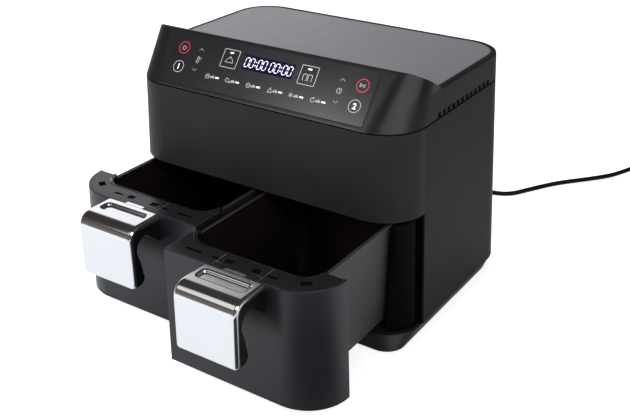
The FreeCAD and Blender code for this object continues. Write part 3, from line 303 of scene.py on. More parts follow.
finishes = {
    "shell_satin": material("shellSatin", lidAndHead, colour=(0.009, 0.009, 0.0095), rough=0.3,
        specular=0.28, lidLow=(0.122, 0.120, 0.134), lidHigh=(0.142, 0.140, 0.154), lidRougher=0.06,
        rimRougher=0.55, flankRougher=0.25, level=0.308, halfWidth=0.195, back=0.2413, corner=0.048,
        rim=0.0068, start=0.0548, flank=(-0.015, 0.003), flankTop=0.001, hair=0.0004, soft=0.0002,
        grain=(1700, 0.00004)),
    "shell_black": material("shellBlack", mouldedPlastic, colour=(0.0098, 0.0098, 0.01), rough=0.42,
        grain=(1700, 0.00005), specular=0.1),
    "fascia_black": material("fasciaBlack", mouldedPlastic, colour=(0.022, 0.022, 0.0222), rough=0.4,
        grain=(1700, 0.00005), specular=0.12),
    "panel_glass": material("panelGlass", glossBlack, colour=(0.009, 0.009, 0.011), rough=0.2, smear=0.06),
    "display": material("displayBlock", glossBlack, colour=(0.02, 0.02, 0.03), rough=0.2, smear=0.1),
    "spring_steel": material("springSteel", rolledSteel, colour=(0.62, 0.62, 0.6), tint=(0.55, 0.54, 0.5),
        rough=0.3, drawn=(600, 600, 40)),
    "circuit_board": material("circuitBoard", circuitBoard, colour=(0.01, 0.06, 0.02),
        track=(0.05, 0.16, 0.06)),
    "screw_steel": material("screwSteel", rolledSteel, colour=(0.55, 0.55, 0.56), tint=(0.4, 0.4, 0.42),
        rough=0.32, drawn=(900, 900, 900)),
    "frame_gloss": material("frameGloss", glossBlack, colour=(0.002, 0.001, 0.0009), rough=0.2, smear=0.06,
        specular=0.03),
    "base_plastic": material("basePlastic", mouldedPlastic, colour=(0.013, 0.013, 0.0132), rough=0.34,
        grain=(1300, 0.00006), specular=0.3),
    "feet_rubber": material("feetRubber", softRubber, colour=(0.012, 0.012, 0.012), rough=0.8,
        specular=0.4),
    "switch_plastic": material("switchPlastic", mouldedPlastic, colour=(0.03, 0.03, 0.03), rough=0.4,
        grain=(2000, 0.00003)),
    "cord_rubber": material("cordRubber", softRubber, colour=(0.006, 0.006, 0.0065), rough=0.6,
        specular=0.15),
    "plug_plastic": material("plugPlastic", softRubber, colour=(0.008, 0.008, 0.0085), rough=0.55,
        specular=0.25),
    "liner_steel": material("linerSteel", rolledSteel, colour=(0.3, 0.29, 0.28), tint=(0.2, 0.17, 0.14),
        rough=0.42, drawn=(30, 900, 900)),
    "element_steel": material("elementSteel", rolledSteel, colour=(0.2, 0.19, 0.18),
        tint=(0.12, 0.08, 0.06), rough=0.45, drawn=(300, 300, 300)),
    "fan_aluminium": material("fanAluminium", rolledSteel, colour=(0.6, 0.6, 0.61), tint=(0.5, 0.48, 0.44),
        rough=0.35, drawn=(200, 200, 30)),
    "fan_plastic": material("fanPlastic", mouldedPlastic, colour=(0.03, 0.03, 0.032), rough=0.45,
        grain=(1500, 0.00004)),
    "shaft_steel": material("shaftSteel", rolledSteel, colour=(0.6, 0.6, 0.6), tint=(0.5, 0.5, 0.5),
        rough=0.22, drawn=(30, 30, 900)),
    "motor_steel": material("motorSteel", rolledSteel, colour=(0.45, 0.45, 0.46), tint=(0.36, 0.35, 0.34),
        rough=0.35, drawn=(40, 40, 700)),
    "drawer_satin": material("drawerSatin", mouldedPlastic, colour=(0.0122, 0.0110, 0.0162), rough=0.33,
        grain=(1700, 0.00004), specular=0.45),
    # the frame's sunk colour is painted shade: a deeper black in its recesses
    "drawer_frame_plastic": material("drawerFramePlastic", frameTop, colour=(0.008, 0.008, 0.0085),
        rough=0.2, specular=0.29, level=0.1644, recess=0.0005, sunk=(0.0008, 0.0006, 0.0006),
        sunkRougher=0.4, grain=(1500, 0.00003)),
    "handle_chrome": material("handleChrome", polishedMetal, colour=(0.84, 0.85, 0.865), rough=0.12,
        smear=0.03),
    "grip_plastic": material("gripPlastic", mouldedPlastic, colour=(0.006, 0.006, 0.006), rough=0.32,
        grain=(1500, 0.00003), specular=0.2),
    "nonstick_aluminium": material("nonStickAluminium", nonStick, colour=(0.032, 0.030, 0.030),
        fleck=(0.055, 0.05, 0.05), inner=(0.009, 0.0055, 0.005), innerFleck=(0.03, 0.024, 0.024),
        rough=0.36, middle=0.091, halfWidth=0.082, halfLength=0.108, corner=0.0232, shift=-0.0285,
        between=-0.0371, top=0.1614, taper=0.0226, floor=0.0286, halfWall=0.0008, turn=0.0062),
    "plate_silicone": material("plateSilicone", softRubber, colour=(0.02, 0.02, 0.02), rough=0.6,
        specular=0.4),
    "rim_bead": material("rimBead", glossBlack, colour=(0.03, 0.026, 0.026), rough=0.18, smear=0.1),
    # lighter grey of the frame seams: a painted highlight along them
    "seam_painted_highlight": material("seamHighlightPaint", mouldedPlastic, colour=(0.10, 0.10, 0.105), rough=0.3,
        grain=(1500, 0.00002)),
}
slotOf = {part["node"]: part["material_slot"] for part in frame["record"]["subparts"]}
ownFinish = {"fascia": "fascia_black"}
for name, piece in nodes.items():
    for place in piece.material_slots:
        place.material = finishes[ownFinish.get(name, slotOf[name])]
print("finishes set:", len(finishes))


def inScene(name, data):
    made = bpy.data.objects.new(name, data)
    bpy.context.scene.collection.objects.link(made)
    return made


def meshPiece(name, points, faces, look, body, smooth=True):
    # one mesh object at the origin, from an array of points and a list or array of faces
    mesh = bpy.data.meshes.new(name)
    mesh.from_pydata(np.asarray(points, float).tolist(), [], [list(face) for face in faces])
    mesh.polygons.foreach_set("use_smooth", [smooth] * len(mesh.polygons))
    mesh.materials.append(look)
    piece = inScene(name, mesh)
    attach(piece, body)
    return piece


def arc(cx, cy, radius, first, last, steps=28, squash=1.0):
    # point = centre + radius (cos turn, squash sin turn), with turn running from first to last in degrees
    turns = np.radians(np.linspace(first, last, steps))
    return np.stack([cx + radius * np.cos(turns), cy + squash * radius * np.sin(turns)], 1)


def circle(cx, cy, radius, steps=64):
    # a whole turn of arc, whose last point stands one step before the first
    return arc(cx, cy, radius, 0, 360 - 360 / steps, steps)


def rectangle(cx, cy, width, height, corner=0.0, steps=5):
    # four quarter turns of arc, anticlockwise, round points set in from the corners by the corner radius
    spots = []
    for sx, sy, start in ((1, -1, -90), (1, 1, 0), (-1, 1, 90), (-1, -1, 180)):
        middle = (cx + sx * (width / 2 - corner), cy + sy * (height / 2 - corner))
        spots.append(arc(*middle, max(corner, 1e-3), start, start + 90, steps))
    return np.vstack(spots)


def stroke(line, width, closed=False):
    # a flat band along a line: each point moved half a width to both sides, along its mitre
    line = np.asarray(line, float)
    before, after = np.roll(line, 1, 0), np.roll(line, -1, 0)
    if not closed:
        before[0], after[-1] = line[0] * 2 - line[1], line[-1] * 2 - line[-2]
    goIn, goOut = line - before, after - line
    goIn /= np.linalg.norm(goIn, axis=1)[:, None]
    goOut /= np.linalg.norm(goOut, axis=1)[:, None]
    side = (goIn + goOut)[:, ::-1] * [-1, 1]
    side /= np.linalg.norm(side, axis=1)[:, None]
    sideIn = goIn[:, ::-1] * [-1, 1]
    reach = width / 2 / np.clip((side * sideIn).sum(1), 0.5, 1)[:, None]
    left, right = line + side * reach, line - side * reach
    count = len(line)
    quads = [(k, (k + 1) % count, count + (k + 1) % count, count + k)
             for k in range(count if closed else count - 1)]
    return np.vstack([left, right]), quads


def patch(outline):
    # an outline as one flat polygon
    return np.asarray(outline, float), [tuple(range(len(outline)))]


def area(flat, corners):
    # twice the signed area of a polygon, positive when it runs anticlockwise
    return sum(flat[a][0] * flat[b][1] - flat[b][0] * flat[a][1]
               for a, b in zip(corners, corners[1:] + corners[:1]))


def carried(flat, polygons):
    # a flat shape's faces once a second layer of its points lies over the first: tops, bottoms and edge walls
    size = len(flat)
    faces, edges = [], {}
    for polygon in polygons:
        ring = polygon if area(flat, polygon) > 0 else polygon[::-1]
        faces += [tuple(size + k for k in ring), ring[::-1]]
        edges.update({(a, b): True for a, b in zip(ring, ring[1:] + ring[:1])})
    return faces + [(a, b, size + b, size + a) for a, b in edges if (b, a) not in edges]


def joined(parts):
    # shapes put together as one: their points stacked, their faces numbered on
    points, faces, count = [], [], 0
    for spots, polygons in parts:
        points.append(spots)
        faces += [tuple(count + k for k in polygon) for polygon in polygons]
        count += len(spots)
    return np.vstack(points), faces


def moved(flats, x, s, scale=1.0):
    # point = scale times point + (x, s)
    return [(flat * scale + [x, s], polygons) for flat, polygons in flats]


panel = dict(angle=52.667, thickness=2, start=4.6, length=66.8, corner=3, raised=0.06, sunk=0.02,
             line=0.6, fine=0.58, gapLine=1.5, gapRaised=0.015, glintHalf=151, glintAt=0.55,
             glintLine=0.45, glintRaised=0.03)


def panelMarks(name, flats, look, raised=panel["raised"]):
    # flat shapes (x, s) in millimetres laid on the slanted face, with s running up it from the seam:
    # point = origin + x across + s along, sunk a little below the face and raised a little above it
    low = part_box("touch_panel")[0]
    turn = math.radians(panel["angle"])
    along = np.array([0.0, math.cos(turn), math.sin(turn)])
    out = np.array([0.0, -math.sin(turn), math.cos(turn)])
    corner = np.array([0.0, low.y * 1000, low.z * 1000 + panel["thickness"] * math.cos(turn)])
    origin = corner - along * panel["start"]
    parts = []
    for flat, polygons in flats:
        spots = origin + flat[:, :1] * [1, 0, 0] + flat[:, 1:] * along
        layers = np.vstack([spots - out * panel["sunk"], spots + out * raised])
        parts.append((layers, carried(flat, polygons)))
    points, faces = joined(parts)
    meshPiece(name, points / 1000, faces, look, "housing", smooth=False)


# small plain signs about 8 mm wide, drawn round (0, 0)
pictograms = dict(
    chips=[[(-1.6, 0.4), (-1.8, 2.4)], [(0, 0.4), (0, 2.8)], [(1.6, 0.4), (1.8, 2.4)],
           [(-2.6, 0.2), (-2, -2.4), (2, -2.4), (2.6, 0.2), (-2.6, 0.2)]],
    roast=[arc(-0.8, 0.3, 2.1, 0, 330), [(1.1, -0.8), (3.2, -2.2)], [(2.6, -2.8), (3.7, -1.6)]],
    bake=[[(-2.2, 0), (-1.6, -2.5), (1.6, -2.5), (2.2, 0)], arc(0, 0, 2.6, 0, 180, squash=0.9),
          [(-2.6, 0), (2.6, 0)]],
    dry=[np.vstack([[(0, 2.8)], arc(0, -0.7, 1.8, 150, 390), [(0, 2.8)]]), [(-3.2, -2.4), (3.2, -2.4)]],
    thaw=[[(2.6 * math.cos(turn), 2.6 * math.sin(turn)), (-2.6 * math.cos(turn), -2.6 * math.sin(turn))]
          for turn in (math.pi / 2, math.pi / 6, -math.pi / 6)],
    again=[arc(0, 0, 2.3, 60, 350), [(0.1, 3.2), (1.4, 2), (0, 1)]],
    dish=[arc(0, -1.5, 5, 0, 180), [(-6.2, -2.2), (6.2, -2.2)], arc(0, 4.4, 0.9, 0, 330)],
    pair=[rectangle(-3, 0, 4.6, 6.6, 1), rectangle(3, 0, 4.6, 6.6, 1)],
    heat=[[(-0.8, -0.6), (-0.8, 3), (0.8, 3), (0.8, -0.6)], arc(0, -2, 1.6, 120, 420),
          [(2.4, 2.4), (3.8, 2.4)], [(2.4, 0.9), (3.8, 0.9)]],
    clock=[arc(0, 0, 2.7, 0, 350), [(0, 1.8), (0, 0), (1.3, -0.7)]],
    power=[arc(0, -0.3, 2.6, 120, 420), [(0, 0.4), (0, 3)]],
    start=[[(-3.4, -2.2), (-3.4, 2.2), (-0.4, 0), (-3.4, -2.2)], [(1.2, -2), (1.2, 2)],
           [(3, -2), (3, 2)]],
)


def pictogram(kind, x, s, scale=1.0):
    # the strokes of one sign, moved to (x, s)
    return moved([stroke(line, panel["fine"]) for line in pictograms[kind]], x, s, scale)


numeral = dict(height=6.8, size=1.45, fatter=0.03)


def glyph(text, x, s):
    # one numeral as flat polygons, centred on (x, s)
    letters = bpy.data.curves.new("numeral", "FONT")
    letters.body, letters.size = text, numeral["height"] * numeral["size"]
    letters.align_x, letters.align_y = "CENTER", "CENTER"
    letters.resolution_u, letters.offset = 6, numeral["height"] * numeral["fatter"]
    shown = inScene("numeral", letters)
    bpy.context.view_layer.update()
    mesh = bpy.data.meshes.new_from_object(shown.evaluated_get(bpy.context.evaluated_depsgraph_get()))
    flat = np.array([v.co[:2] for v in mesh.vertices])
    polygons = [tuple(p.vertices) for p in mesh.polygons]
    bpy.data.objects.remove(shown)
    bpy.data.meshes.remove(mesh)
    middle = (flat.min(0) + flat.max(0)) / 2
    return moved([(flat - middle, polygons)], x, s)


display = dict(middle=49.6, width=72, height=18.2, corner=0.6, raised=0.02, digitWidth=5.3,
               digitHeight=11.4, bar=1, slant=0.1, gap=0.25, pitch=7.3, colon=3.6, split=3.2,
               dotRise=2.2, dot=(1.5, 1.6, 0.3))


def digitZero(x, s):
    # six bars of a seven-bar numeral, each a long hexagon, leaning by the slant
    d = display
    half, tall, bar = d["digitWidth"] / 2, d["digitHeight"] / 2, d["bar"] / 2
    inset = d["gap"] + bar * 0.6
    flats = []
    for cx in (-half, half):
        for low, high in ((-tall, 0), (0, tall)):
            a, b = low + inset, high - inset
            flats.append(patch([(cx - bar, a + bar), (cx, a), (cx + bar, a + bar), (cx + bar, b - bar),
                                (cx, b), (cx - bar, b - bar)]))
    for cy in (-tall, tall):
        a, b = -half + inset, half - inset
        flats.append(patch([(a, cy), (a + bar, cy - bar), (b - bar, cy - bar), (b, cy), (b - bar, cy + bar),
                            (a + bar, cy + bar)]))
    return [(np.stack([flat[:, 0] + d["slant"] * flat[:, 1] + x, flat[:, 1] + s], 1), polygons)
            for flat, polygons in flats]


def displayDigits():
    # two groups of four digits, with a colon after the second digit of each
    d = display
    x = -(8 * d["pitch"] + 2 * d["colon"] + d["split"]) / 2 + d["pitch"] / 2
    flats = []
    for index in range(8):
        flats += digitZero(x, d["middle"])
        if index in (1, 5):
            dotX = x + d["pitch"] / 2 + d["colon"] / 2
            for dy in (-d["dotRise"], d["dotRise"]):
                flats.append(patch(rectangle(dotX + d["slant"] * dy, d["middle"] + dy, *d["dot"])))
            x += d["colon"]
        x += d["pitch"] + (d["split"] if index == 3 else 0.0)
    return flats


# places are (x, s), and a third number is a size; the Line values are shares of a line's width
marks = dict(ring=(128, 51.3, 7.6), number=(126.5, 26.5, 7.4), square=(56.2, 49.4, 22.8), squareCorner=0.8,
             squareSign=-2.6, squareLamp=7.6, arrows=101.5, up=53, down=26.6, sign=39.8,
             arrow=(3.1, 1.3, 1.5), ringLine=1.6, circleLine=0.75, squareLine=0.8, arrowLine=0.7,
             signScale=1.15, row=22.7, modeSign=-14.6, modeScale=1.1,
             modes=dict(chips=-64.4, roast=-34.1, bake=-3.4, dry=28, thaw=57.3, again=87.2),
             bars=((-10.2, 1.6), (-8.5, 2.6), (-6.8, 3.6), (-5.1, 2.6)), barFoot=-1.6, barLine=2,
             lamp=(5.2, 1.7, 0.5))
inks = dict(
    redLight=dict(ink=(0.45, 0.015, 0.03), glow=(0.75, 0.03, 0.06), power=0.42),
    whiteInk=dict(ink=(0.6, 0.6, 0.6), glow=(0.8, 0.8, 0.8), power=0.3),
    greyInk=dict(ink=(0.4, 0.4, 0.4), glow=(0.6, 0.6, 0.6), power=0.28),
    lampWhite=dict(ink=(0.9, 0.9, 0.9), glow=(1, 1, 1), power=0.95),
    numeralLight=dict(ink=(0.9, 0.8, 0.7), glow=(1, 0.78, 0.6), power=0.75),
    digitLight=dict(ink=(0.7, 0.65, 0.85), glow=(0.78, 0.70, 1), power=1),
    displayWindow=dict(ink=(0.003, 0.002, 0.010), glow=(0.004, 0.002, 0.016), power=1, specular=0.03),
)


def buildPanel():
    m, line = marks, panel["line"]
    ink = {name: material(name, litMark, **looks) for name, looks in inks.items()}
    ringX, ringS, ringR = m["ring"]
    numX, numS, numR = m["number"]
    boxX, boxS, boxSize = m["square"]
    rings = [stroke(circle(x, ringS, ringR), line * m["ringLine"], True) for x in (-ringX, ringX)]
    panelMarks("redRings", rings, ink["redLight"])
    circles = [stroke(circle(x, numS, numR), line * m["circleLine"], True) for x in (-numX, numX)]
    squares = [stroke(rectangle(x, boxS, boxSize, boxSize, m["squareCorner"]), line * m["squareLine"], True)
               for x in (-boxX, boxX)]
    panelMarks("whiteOutlines", circles + squares, ink["whiteInk"])
    panelMarks("numerals", glyph("1", -numX, numS) + glyph("2", numX, numS), ink["numeralLight"])

    low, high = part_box("touch_panel")
    width, length = (high.x - low.x) * 1000, panel["length"]
    outline = rectangle(0, panel["start"] + length / 2, width, length, panel["corner"], 8)
    gap = material("panelGap", glossBlack, colour=(0.001, 0.001, 0.001), rough=0.5, smear=0.1)
    panelMarks("panelGap", [stroke(outline, panel["gapLine"], True)], gap, panel["gapRaised"])
    glint = material("seamGlint", mouldedPlastic, colour=(0.06, 0.06, 0.062), rough=0.3,
                     grain=(1500.0, 0.00002))
    seam = [(-panel["glintHalf"], panel["glintAt"]), (panel["glintHalf"], panel["glintAt"])]
    panelMarks("seamGlint", [stroke(seam, panel["glintLine"])], glint, panel["glintRaised"])

    signs = []
    half, low, high = m["arrow"]
    for x in (-m["arrows"], m["arrows"]):
        for way, place in ((1, m["up"]), (-1, m["down"])):
            arrow = [(x - half, place - way * low), (x, place + way * high), (x + half, place - way * low)]
            signs.append(stroke(arrow, panel["fine"] * m["arrowLine"]))
    signs += pictogram("heat", -m["arrows"], m["sign"], m["signScale"])
    signs += pictogram("clock", m["arrows"], m["sign"], m["signScale"])
    signs += pictogram("power", -ringX, ringS) + pictogram("start", ringX, ringS)
    signs += pictogram("dish", -boxX, boxS + m["squareSign"])
    signs += pictogram("pair", boxX, boxS + m["squareSign"], m["signScale"])
    foot = m["row"] + m["barFoot"]
    for kind, x in m["modes"].items():
        signs += pictogram(kind, x + m["modeSign"], m["row"], m["modeScale"])
        signs += [stroke([(x + step, foot), (x + step, foot + tall)], panel["fine"] * m["barLine"])
                  for step, tall in m["bars"]]
    panelMarks("panelSigns", signs, ink["greyInk"])

    lamps = [patch(rectangle(x, m["row"], *m["lamp"])) for x in m["modes"].values()]
    lamps += [patch(rectangle(x, boxS + m["squareLamp"], *m["lamp"])) for x in (-boxX, boxX)]
    panelMarks("modeLamps", lamps, ink["lampWhite"])
    window = rectangle(0, display["middle"], display["width"], display["height"], display["corner"])
    panelMarks("displayWindow", [patch(window)], ink["displayWindow"], display["raised"])
    panelMarks("displayDigits", displayDigits(), ink["digitLight"])


buildPanel()
print("panel marked")


def slab(outline, bottom, top, chamfer):
    # an outline carried up, its top edge drawn in by a chamfer; capped at both ends
    outline = np.asarray(outline, float)
    middle = outline.mean(0)
    half = (outline.max(0) - outline.min(0)) / 2
    drawn = middle + (outline - middle) * (1 - chamfer / half)
    count = len(outline)
    rings = [np.c_[outline, np.full(count, bottom)], np.c_[outline, np.full(count, top - chamfer)],
             np.c_[drawn, np.full(count, top)]]
    faces = [tuple(range(count))[::-1], tuple(range(2 * count, 3 * count))]
    for low in (0, count):
        faces += [(low + k, low + (k + 1) % count, low + count + (k + 1) % count, low + count + k)
                  for k in range(count)]
    return np.vstack(rings) / 1000, faces


def strip(line, width, bottom, top):
    # a closed bar of rectangular section along a flat line
    flat, quads = stroke(line, width)
    layers = [np.c_[flat, np.full(len(flat), height)] for height in (bottom, top)]
    return np.vstack(layers) / 1000, carried(flat, quads)


def tube(line, radius, around=10):
    # a closed loop of small circles, each standing across the line's direction:
    # point = line + radius (cos turn across + sin turn up)
    line = np.asarray(line, float)
    ahead = np.roll(line, -1, 0) - np.roll(line, 1, 0)
    ahead /= np.linalg.norm(ahead, axis=1)[:, None]
    across = np.stack([ahead[:, 1], -ahead[:, 0], 0 * ahead[:, 0]], 1)
    turn = np.linspace(0, 2 * math.pi, around, endpoint=False)[None, :, None]
    points = line[:, None] + radius * (np.cos(turn) * across[:, None] + np.sin(turn) * [0, 0, 1])
    index = np.arange(len(line) * around).reshape(len(line), around)
    after, turned = np.roll(index, -1, 0), np.roll(index, -1, 1)
    quads = np.stack([index, after, np.roll(after, -1, 1), turned], -1).reshape(-1, 4)
    return points.reshape(-1, 3) / 1000, quads


# rows: start, end and count of the mesh lines in each stretch of the plate; lastRows go on to its end
handle = dict(top=164.4, halfWidth=40, reach=50.5, drop=77, bend=16, corner=4.8, roll=4, lip=6,
              wall=0.8, rows=((0, 6.5, 5), (6.5, 27.5, 42), (27.5, 34.5, 5), (34.5, 59.7, 32)),
              lastRows=30, column=0.5, rollSteps=9, lipSteps=5, flatSteps=4,
              pocket=(8.5, 25, 31, 5), pocketDepth=3.5,
              edge=((-2.4, 1), (-1.8, 0.97), (-1.1, 0.8), (-0.5, 0.3), (0, 0.22), (0.7, 0.06),
                    (1.1, 0.02), (1.5, 0)),
              tab=(13.8, 5.3, 2), tabRoot=0.4, tabCorner=1, tabChamfer=0.5)


def rolledLine():
    # the rolled edge's distances outward and down: flat, a quarter turn, then straight down
    h = handle
    flat, radius = h["corner"] - h["roll"], h["roll"]
    turn = np.linspace(0, math.pi / 2, h["rollSteps"])
    out = np.concatenate([np.linspace(0, flat, h["flatSteps"], endpoint=False), flat + radius * np.sin(turn),
                          np.full(h["lipSteps"], flat + radius)])
    lip = np.linspace(0, h["lip"] - radius, h["lipSteps"] + 1)[1:]
    down = np.concatenate([np.zeros(h["flatSteps"]), radius * (1 - np.cos(turn)), radius + lip])
    return out, down


def bentPlate(reach, down):
    # the plate's side view: the arm runs forward, turns a quarter circle and drops; down is the depth in it
    h = handle
    arm, quarter = h["reach"] - h["bend"], h["bend"] * math.pi / 2
    turn = np.clip((reach - arm) / h["bend"], 0, math.pi / 2)
    depth = h["bend"] - down
    y = -np.minimum(reach, arm) - np.sin(turn) * depth
    z = h["top"] - h["bend"] + np.cos(turn) * depth - np.maximum(reach - arm - quarter, 0)
    return y, z


def pocketWell(reach, side):
    # share of the pocket's depth: signed distance to its rounded outline, looked up in its stepped edge
    low, high, half, radius = handle["pocket"]
    pastEnd = abs(reach - (low + high) / 2) - (high - low) / 2 + radius
    pastSide = abs(side) - half + radius
    outside = np.hypot(np.maximum(pastEnd, 0), np.maximum(pastSide, 0))
    distance = outside + np.minimum(np.maximum(pastEnd, pastSide), 0) - radius
    return np.interp(distance, *zip(*handle["edge"]))


def handleCover(name, node, body, middle, front):
    # chrome sheet on a grid of reach and side: point = (middle + side, bent plate at reach), sunk into the
    # plate by the rolled edge's down plus the pocket's share of its depth; a tab stands behind it
    h = handle
    out, down = rolledLine()
    straight = h["halfWidth"] - h["corner"]
    length = h["reach"] - h["bend"] + h["bend"] * math.pi / 2 + h["drop"] - h["bend"]
    stretches = [np.linspace(first, last, count, endpoint=False) for first, last, count in h["rows"]]
    lastStretch = np.linspace(h["rows"][-1][1], length - h["corner"], h["lastRows"])
    flatRows = np.concatenate(stretches + [lastStretch])
    across = np.arange(-straight, straight + h["column"] / 2, h["column"])
    # grid indices run past the flat rectangle by the rolled steps: both sides and the lower end
    steps = len(out) - 1
    past = np.arange(1, steps + 1)
    rowPast = np.concatenate([np.zeros(len(flatRows), int), past])
    colPast = np.concatenate([-past[::-1], np.zeros(len(across), int), past])
    rowAt = np.concatenate([flatRows, np.full(steps, flatRows[-1])])
    colAt = np.concatenate([np.full(steps, across[0]), across, np.full(steps, across[-1])])
    pastS, pastT = np.meshgrid(rowPast, colPast, indexing="ij")
    flatS, flatT = np.meshgrid(rowAt, colAt, indexing="ij")
    # at a corner the square of steps is turned into a quarter disc: larger step = ring, their ratio = angle
    ring = np.maximum(pastS, abs(pastT))
    ratio = np.minimum(pastS, abs(pastT)) / np.maximum(ring, 1)
    angle = np.where(pastS >= abs(pastT), math.pi / 2 - ratio * math.pi / 4, ratio * math.pi / 4)
    reach = flatS + out[ring] * np.sin(angle)
    side = flatT + out[ring] * np.cos(angle) * np.sign(pastT)
    y, z = bentPlate(reach, down[ring] + pocketWell(reach, side) * h["pocketDepth"])
    points = np.stack([middle + side, front + y, z], -1).reshape(-1, 3)
    index = np.arange(ring.size).reshape(ring.shape)
    quads = np.stack([index[:-1, :-1], index[1:, :-1], index[1:, 1:], index[:-1, 1:]], -1).reshape(-1, 4)
    cover = meshPiece(name, points / 1000, quads, finishes["handle_chrome"], body)
    thick = cover.modifiers.new("wall", "SOLIDIFY")
    thick.thickness, thick.offset = h["wall"] / 1000, -1
    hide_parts(node)
    half, deep, tall = h["tab"]
    root = h["tabRoot"]
    outline = rectangle(middle, front + deep / 2 - root, half * 2, deep + root * 2, h["tabCorner"])
    tab = slab(outline, h["top"] - tall, h["top"], h["tabChamfer"])
    meshPiece(name + "Tab", *tab, finishes["handle_chrome"], body, smooth=False)


drawerTrim = dict(
    top=164.4, bead=0.55, beadRise=161.6, rimInset=1.4, rimFront=24, corner=24, cornerSteps=14,
    seam=dict(half=30.5, near=2.5, far=28.2, line=0.55, sunk=0.05, rise=0.14, cross=9.2, crossLength=8),
    ridge=dict(setback=1.5, width=0.9, sunk=0.1, rise=0.55, front=31, back=50, inset=1, aside=0.4,
               limit=196, cornerSteps=16),
    hole=dict(size=(14, 10, 1), turn=35, place=(170, 24), low=4.4, high=3.2, chamfer=0.2),
    clip=dict(aside=0.5, inset=0.6, width=0.9, sunk=1.5, rise=0.5, turn=55, steps=14))


def trimDrawer(side, sign, middle, front):
    # a round bead carried along the pan's rim
    d, body = drawerTrim, side + "_drawer"
    top, corner = d["top"], d["corner"]
    low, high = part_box(side + "_pan")
    x0, x1 = low.x * 1000 + d["rimInset"], high.x * 1000 - d["rimInset"]
    near, back = front + d["rimFront"] + d["rimInset"], high.y * 1000 - d["rimInset"]
    rim = rectangle((x0 + x1) / 2, (near + back) / 2, x1 - x0, back - near, corner, d["cornerSteps"])
    bead = tube(np.c_[rim, np.full(len(rim), d["beadRise"])], d["bead"])
    meshPiece(side + "RimBead", *bead, finishes["rim_bead"], body)

    # two seams run back from the front edge, and a short one leads from each towards the middle; their
    # lighter grey is a painted highlight
    seam = d["seam"]
    left, right, cross = middle - seam["half"], middle + seam["half"], front + seam["cross"]
    lines = [[(x, front + seam["near"]), (x, front + seam["far"])] for x in (left, right)]
    lines += [[(left, cross), (left + seam["crossLength"], cross)],
              [(right - seam["crossLength"], cross), (right, cross)]]
    bars = [strip(line, seam["line"], top - seam["sunk"], top + seam["rise"]) for line in lines]
    meshPiece(side + "FrameSeams", *joined(bars), finishes["seam_painted_highlight"], body, smooth=False)

    # a low ridge follows the opening's front edge, a setback away from it
    ridge = d["ridge"]
    beyond = d["rimInset"] - ridge["inset"] + ridge["setback"]
    leftX, rightX, frontY = x0 - beyond, x1 + beyond, front + ridge["front"] - ridge["setback"]
    r = corner - ridge["inset"] + ridge["setback"]
    line = np.vstack([[(leftX + ridge["aside"], front + ridge["back"])],
                      arc(leftX + r, frontY + r, r, 180, 270, ridge["cornerSteps"]),
                      arc(rightX - r, frontY + r, r, 270, 360, ridge["cornerSteps"]),
                      [(rightX - ridge["aside"], front + ridge["back"])]])
    line = line[abs(line[:, 0]) < ridge["limit"]]
    bar = strip(line, ridge["width"], top - ridge["sunk"], top + ridge["rise"])
    meshPiece(side + "FrameRidge", *bar, finishes["drawer_frame_plastic"], body)

    # a black floor under the slanted hole
    hole = d["hole"]
    outline = rectangle(0, 0, *hole["size"])
    turn = math.radians(hole["turn"])
    x = outline[:, 0] * math.cos(turn) - outline[:, 1] * math.sin(turn) + hole["place"][0]
    y = outline[:, 0] * math.sin(turn) + outline[:, 1] * math.cos(turn) + front + hole["place"][1]
    outline = np.stack([x, y], 1)
    if sign < 0:
        outline = outline[::-1] * [-1, 1]
    floor = slab(outline, top - hole["low"], top - hole["high"], hole["chamfer"])
    meshPiece(side + "HoleFloor", *floor, finishes["grip_plastic"], body, smooth=False)

    # a steel clip along the opening's outer corner
    clip = d["clip"]
    centre = rightX - r - clip["aside"] if sign > 0 else leftX + r + clip["aside"]
    first, last = (360 - clip["turn"], 360) if sign > 0 else (180, 180 + clip["turn"])
    line = arc(centre, frontY + r, r - clip["inset"], first, last, clip["steps"])
    bar = strip(line, clip["width"], top - clip["sunk"], top + clip["rise"])
    meshPiece(side + "FrameClip", *bar, finishes["handle_chrome"], body)


for side, sign in (("left", -1), ("right", 1)):
    low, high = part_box(side + "_handle_cover")
    middle, front = (low.x + high.x) * 500, low.y * 1000 + handle["reach"]
    handleCover(side + "HandleCover", side + "_handle_cover", side + "_drawer", middle, front)
    trimDrawer(side, sign, middle, front)
print("drawers dressed")


cord = dict(radius=0.0035, roundness=6, smoothness=16,
            points=[(-95, 282.63, 60), (-95, 318, 60), (-84, 352, 36), (-62, 383, 3.6), (-12, 400, 3.6),
                    (42, 405, 3.6), (96, 429, 3.6), (137, 436, 3.6), (160, 477, 3.6), (186, 521, 3.6),
                    (221, 561, 3.6), (253, 598, 4.5), (279, 637, 11.5), (300, 676, 18.2), (322, 713, 18.2)])
boot = dict(length=0.030, wide=0.0064, narrow=0.0046, ribs=7, ribDepth=0.0009, rings=120, collar=0.0058,
            collarShare=0.999, endShare=0.9)
plug = dict(length=0.050, wide=0.018, ribs=22, ribDepth=0.0006, rings=60, around=176, pin=0.0024,
            pinLength=0.019, pinSpacing=0.019, pinRoot=0.001, pinTip=0.7, pinTipLength=0.001, pinAround=32,
            profile=[(0, 0.30), (0.01, 0.47), (0.3, 0.53), (0.42, 0.62), (0.52, 0.80), (0.62, 0.95),
                     (0.70, 1), (0.94, 1), (0.985, 0.97), (1, 0.92)])


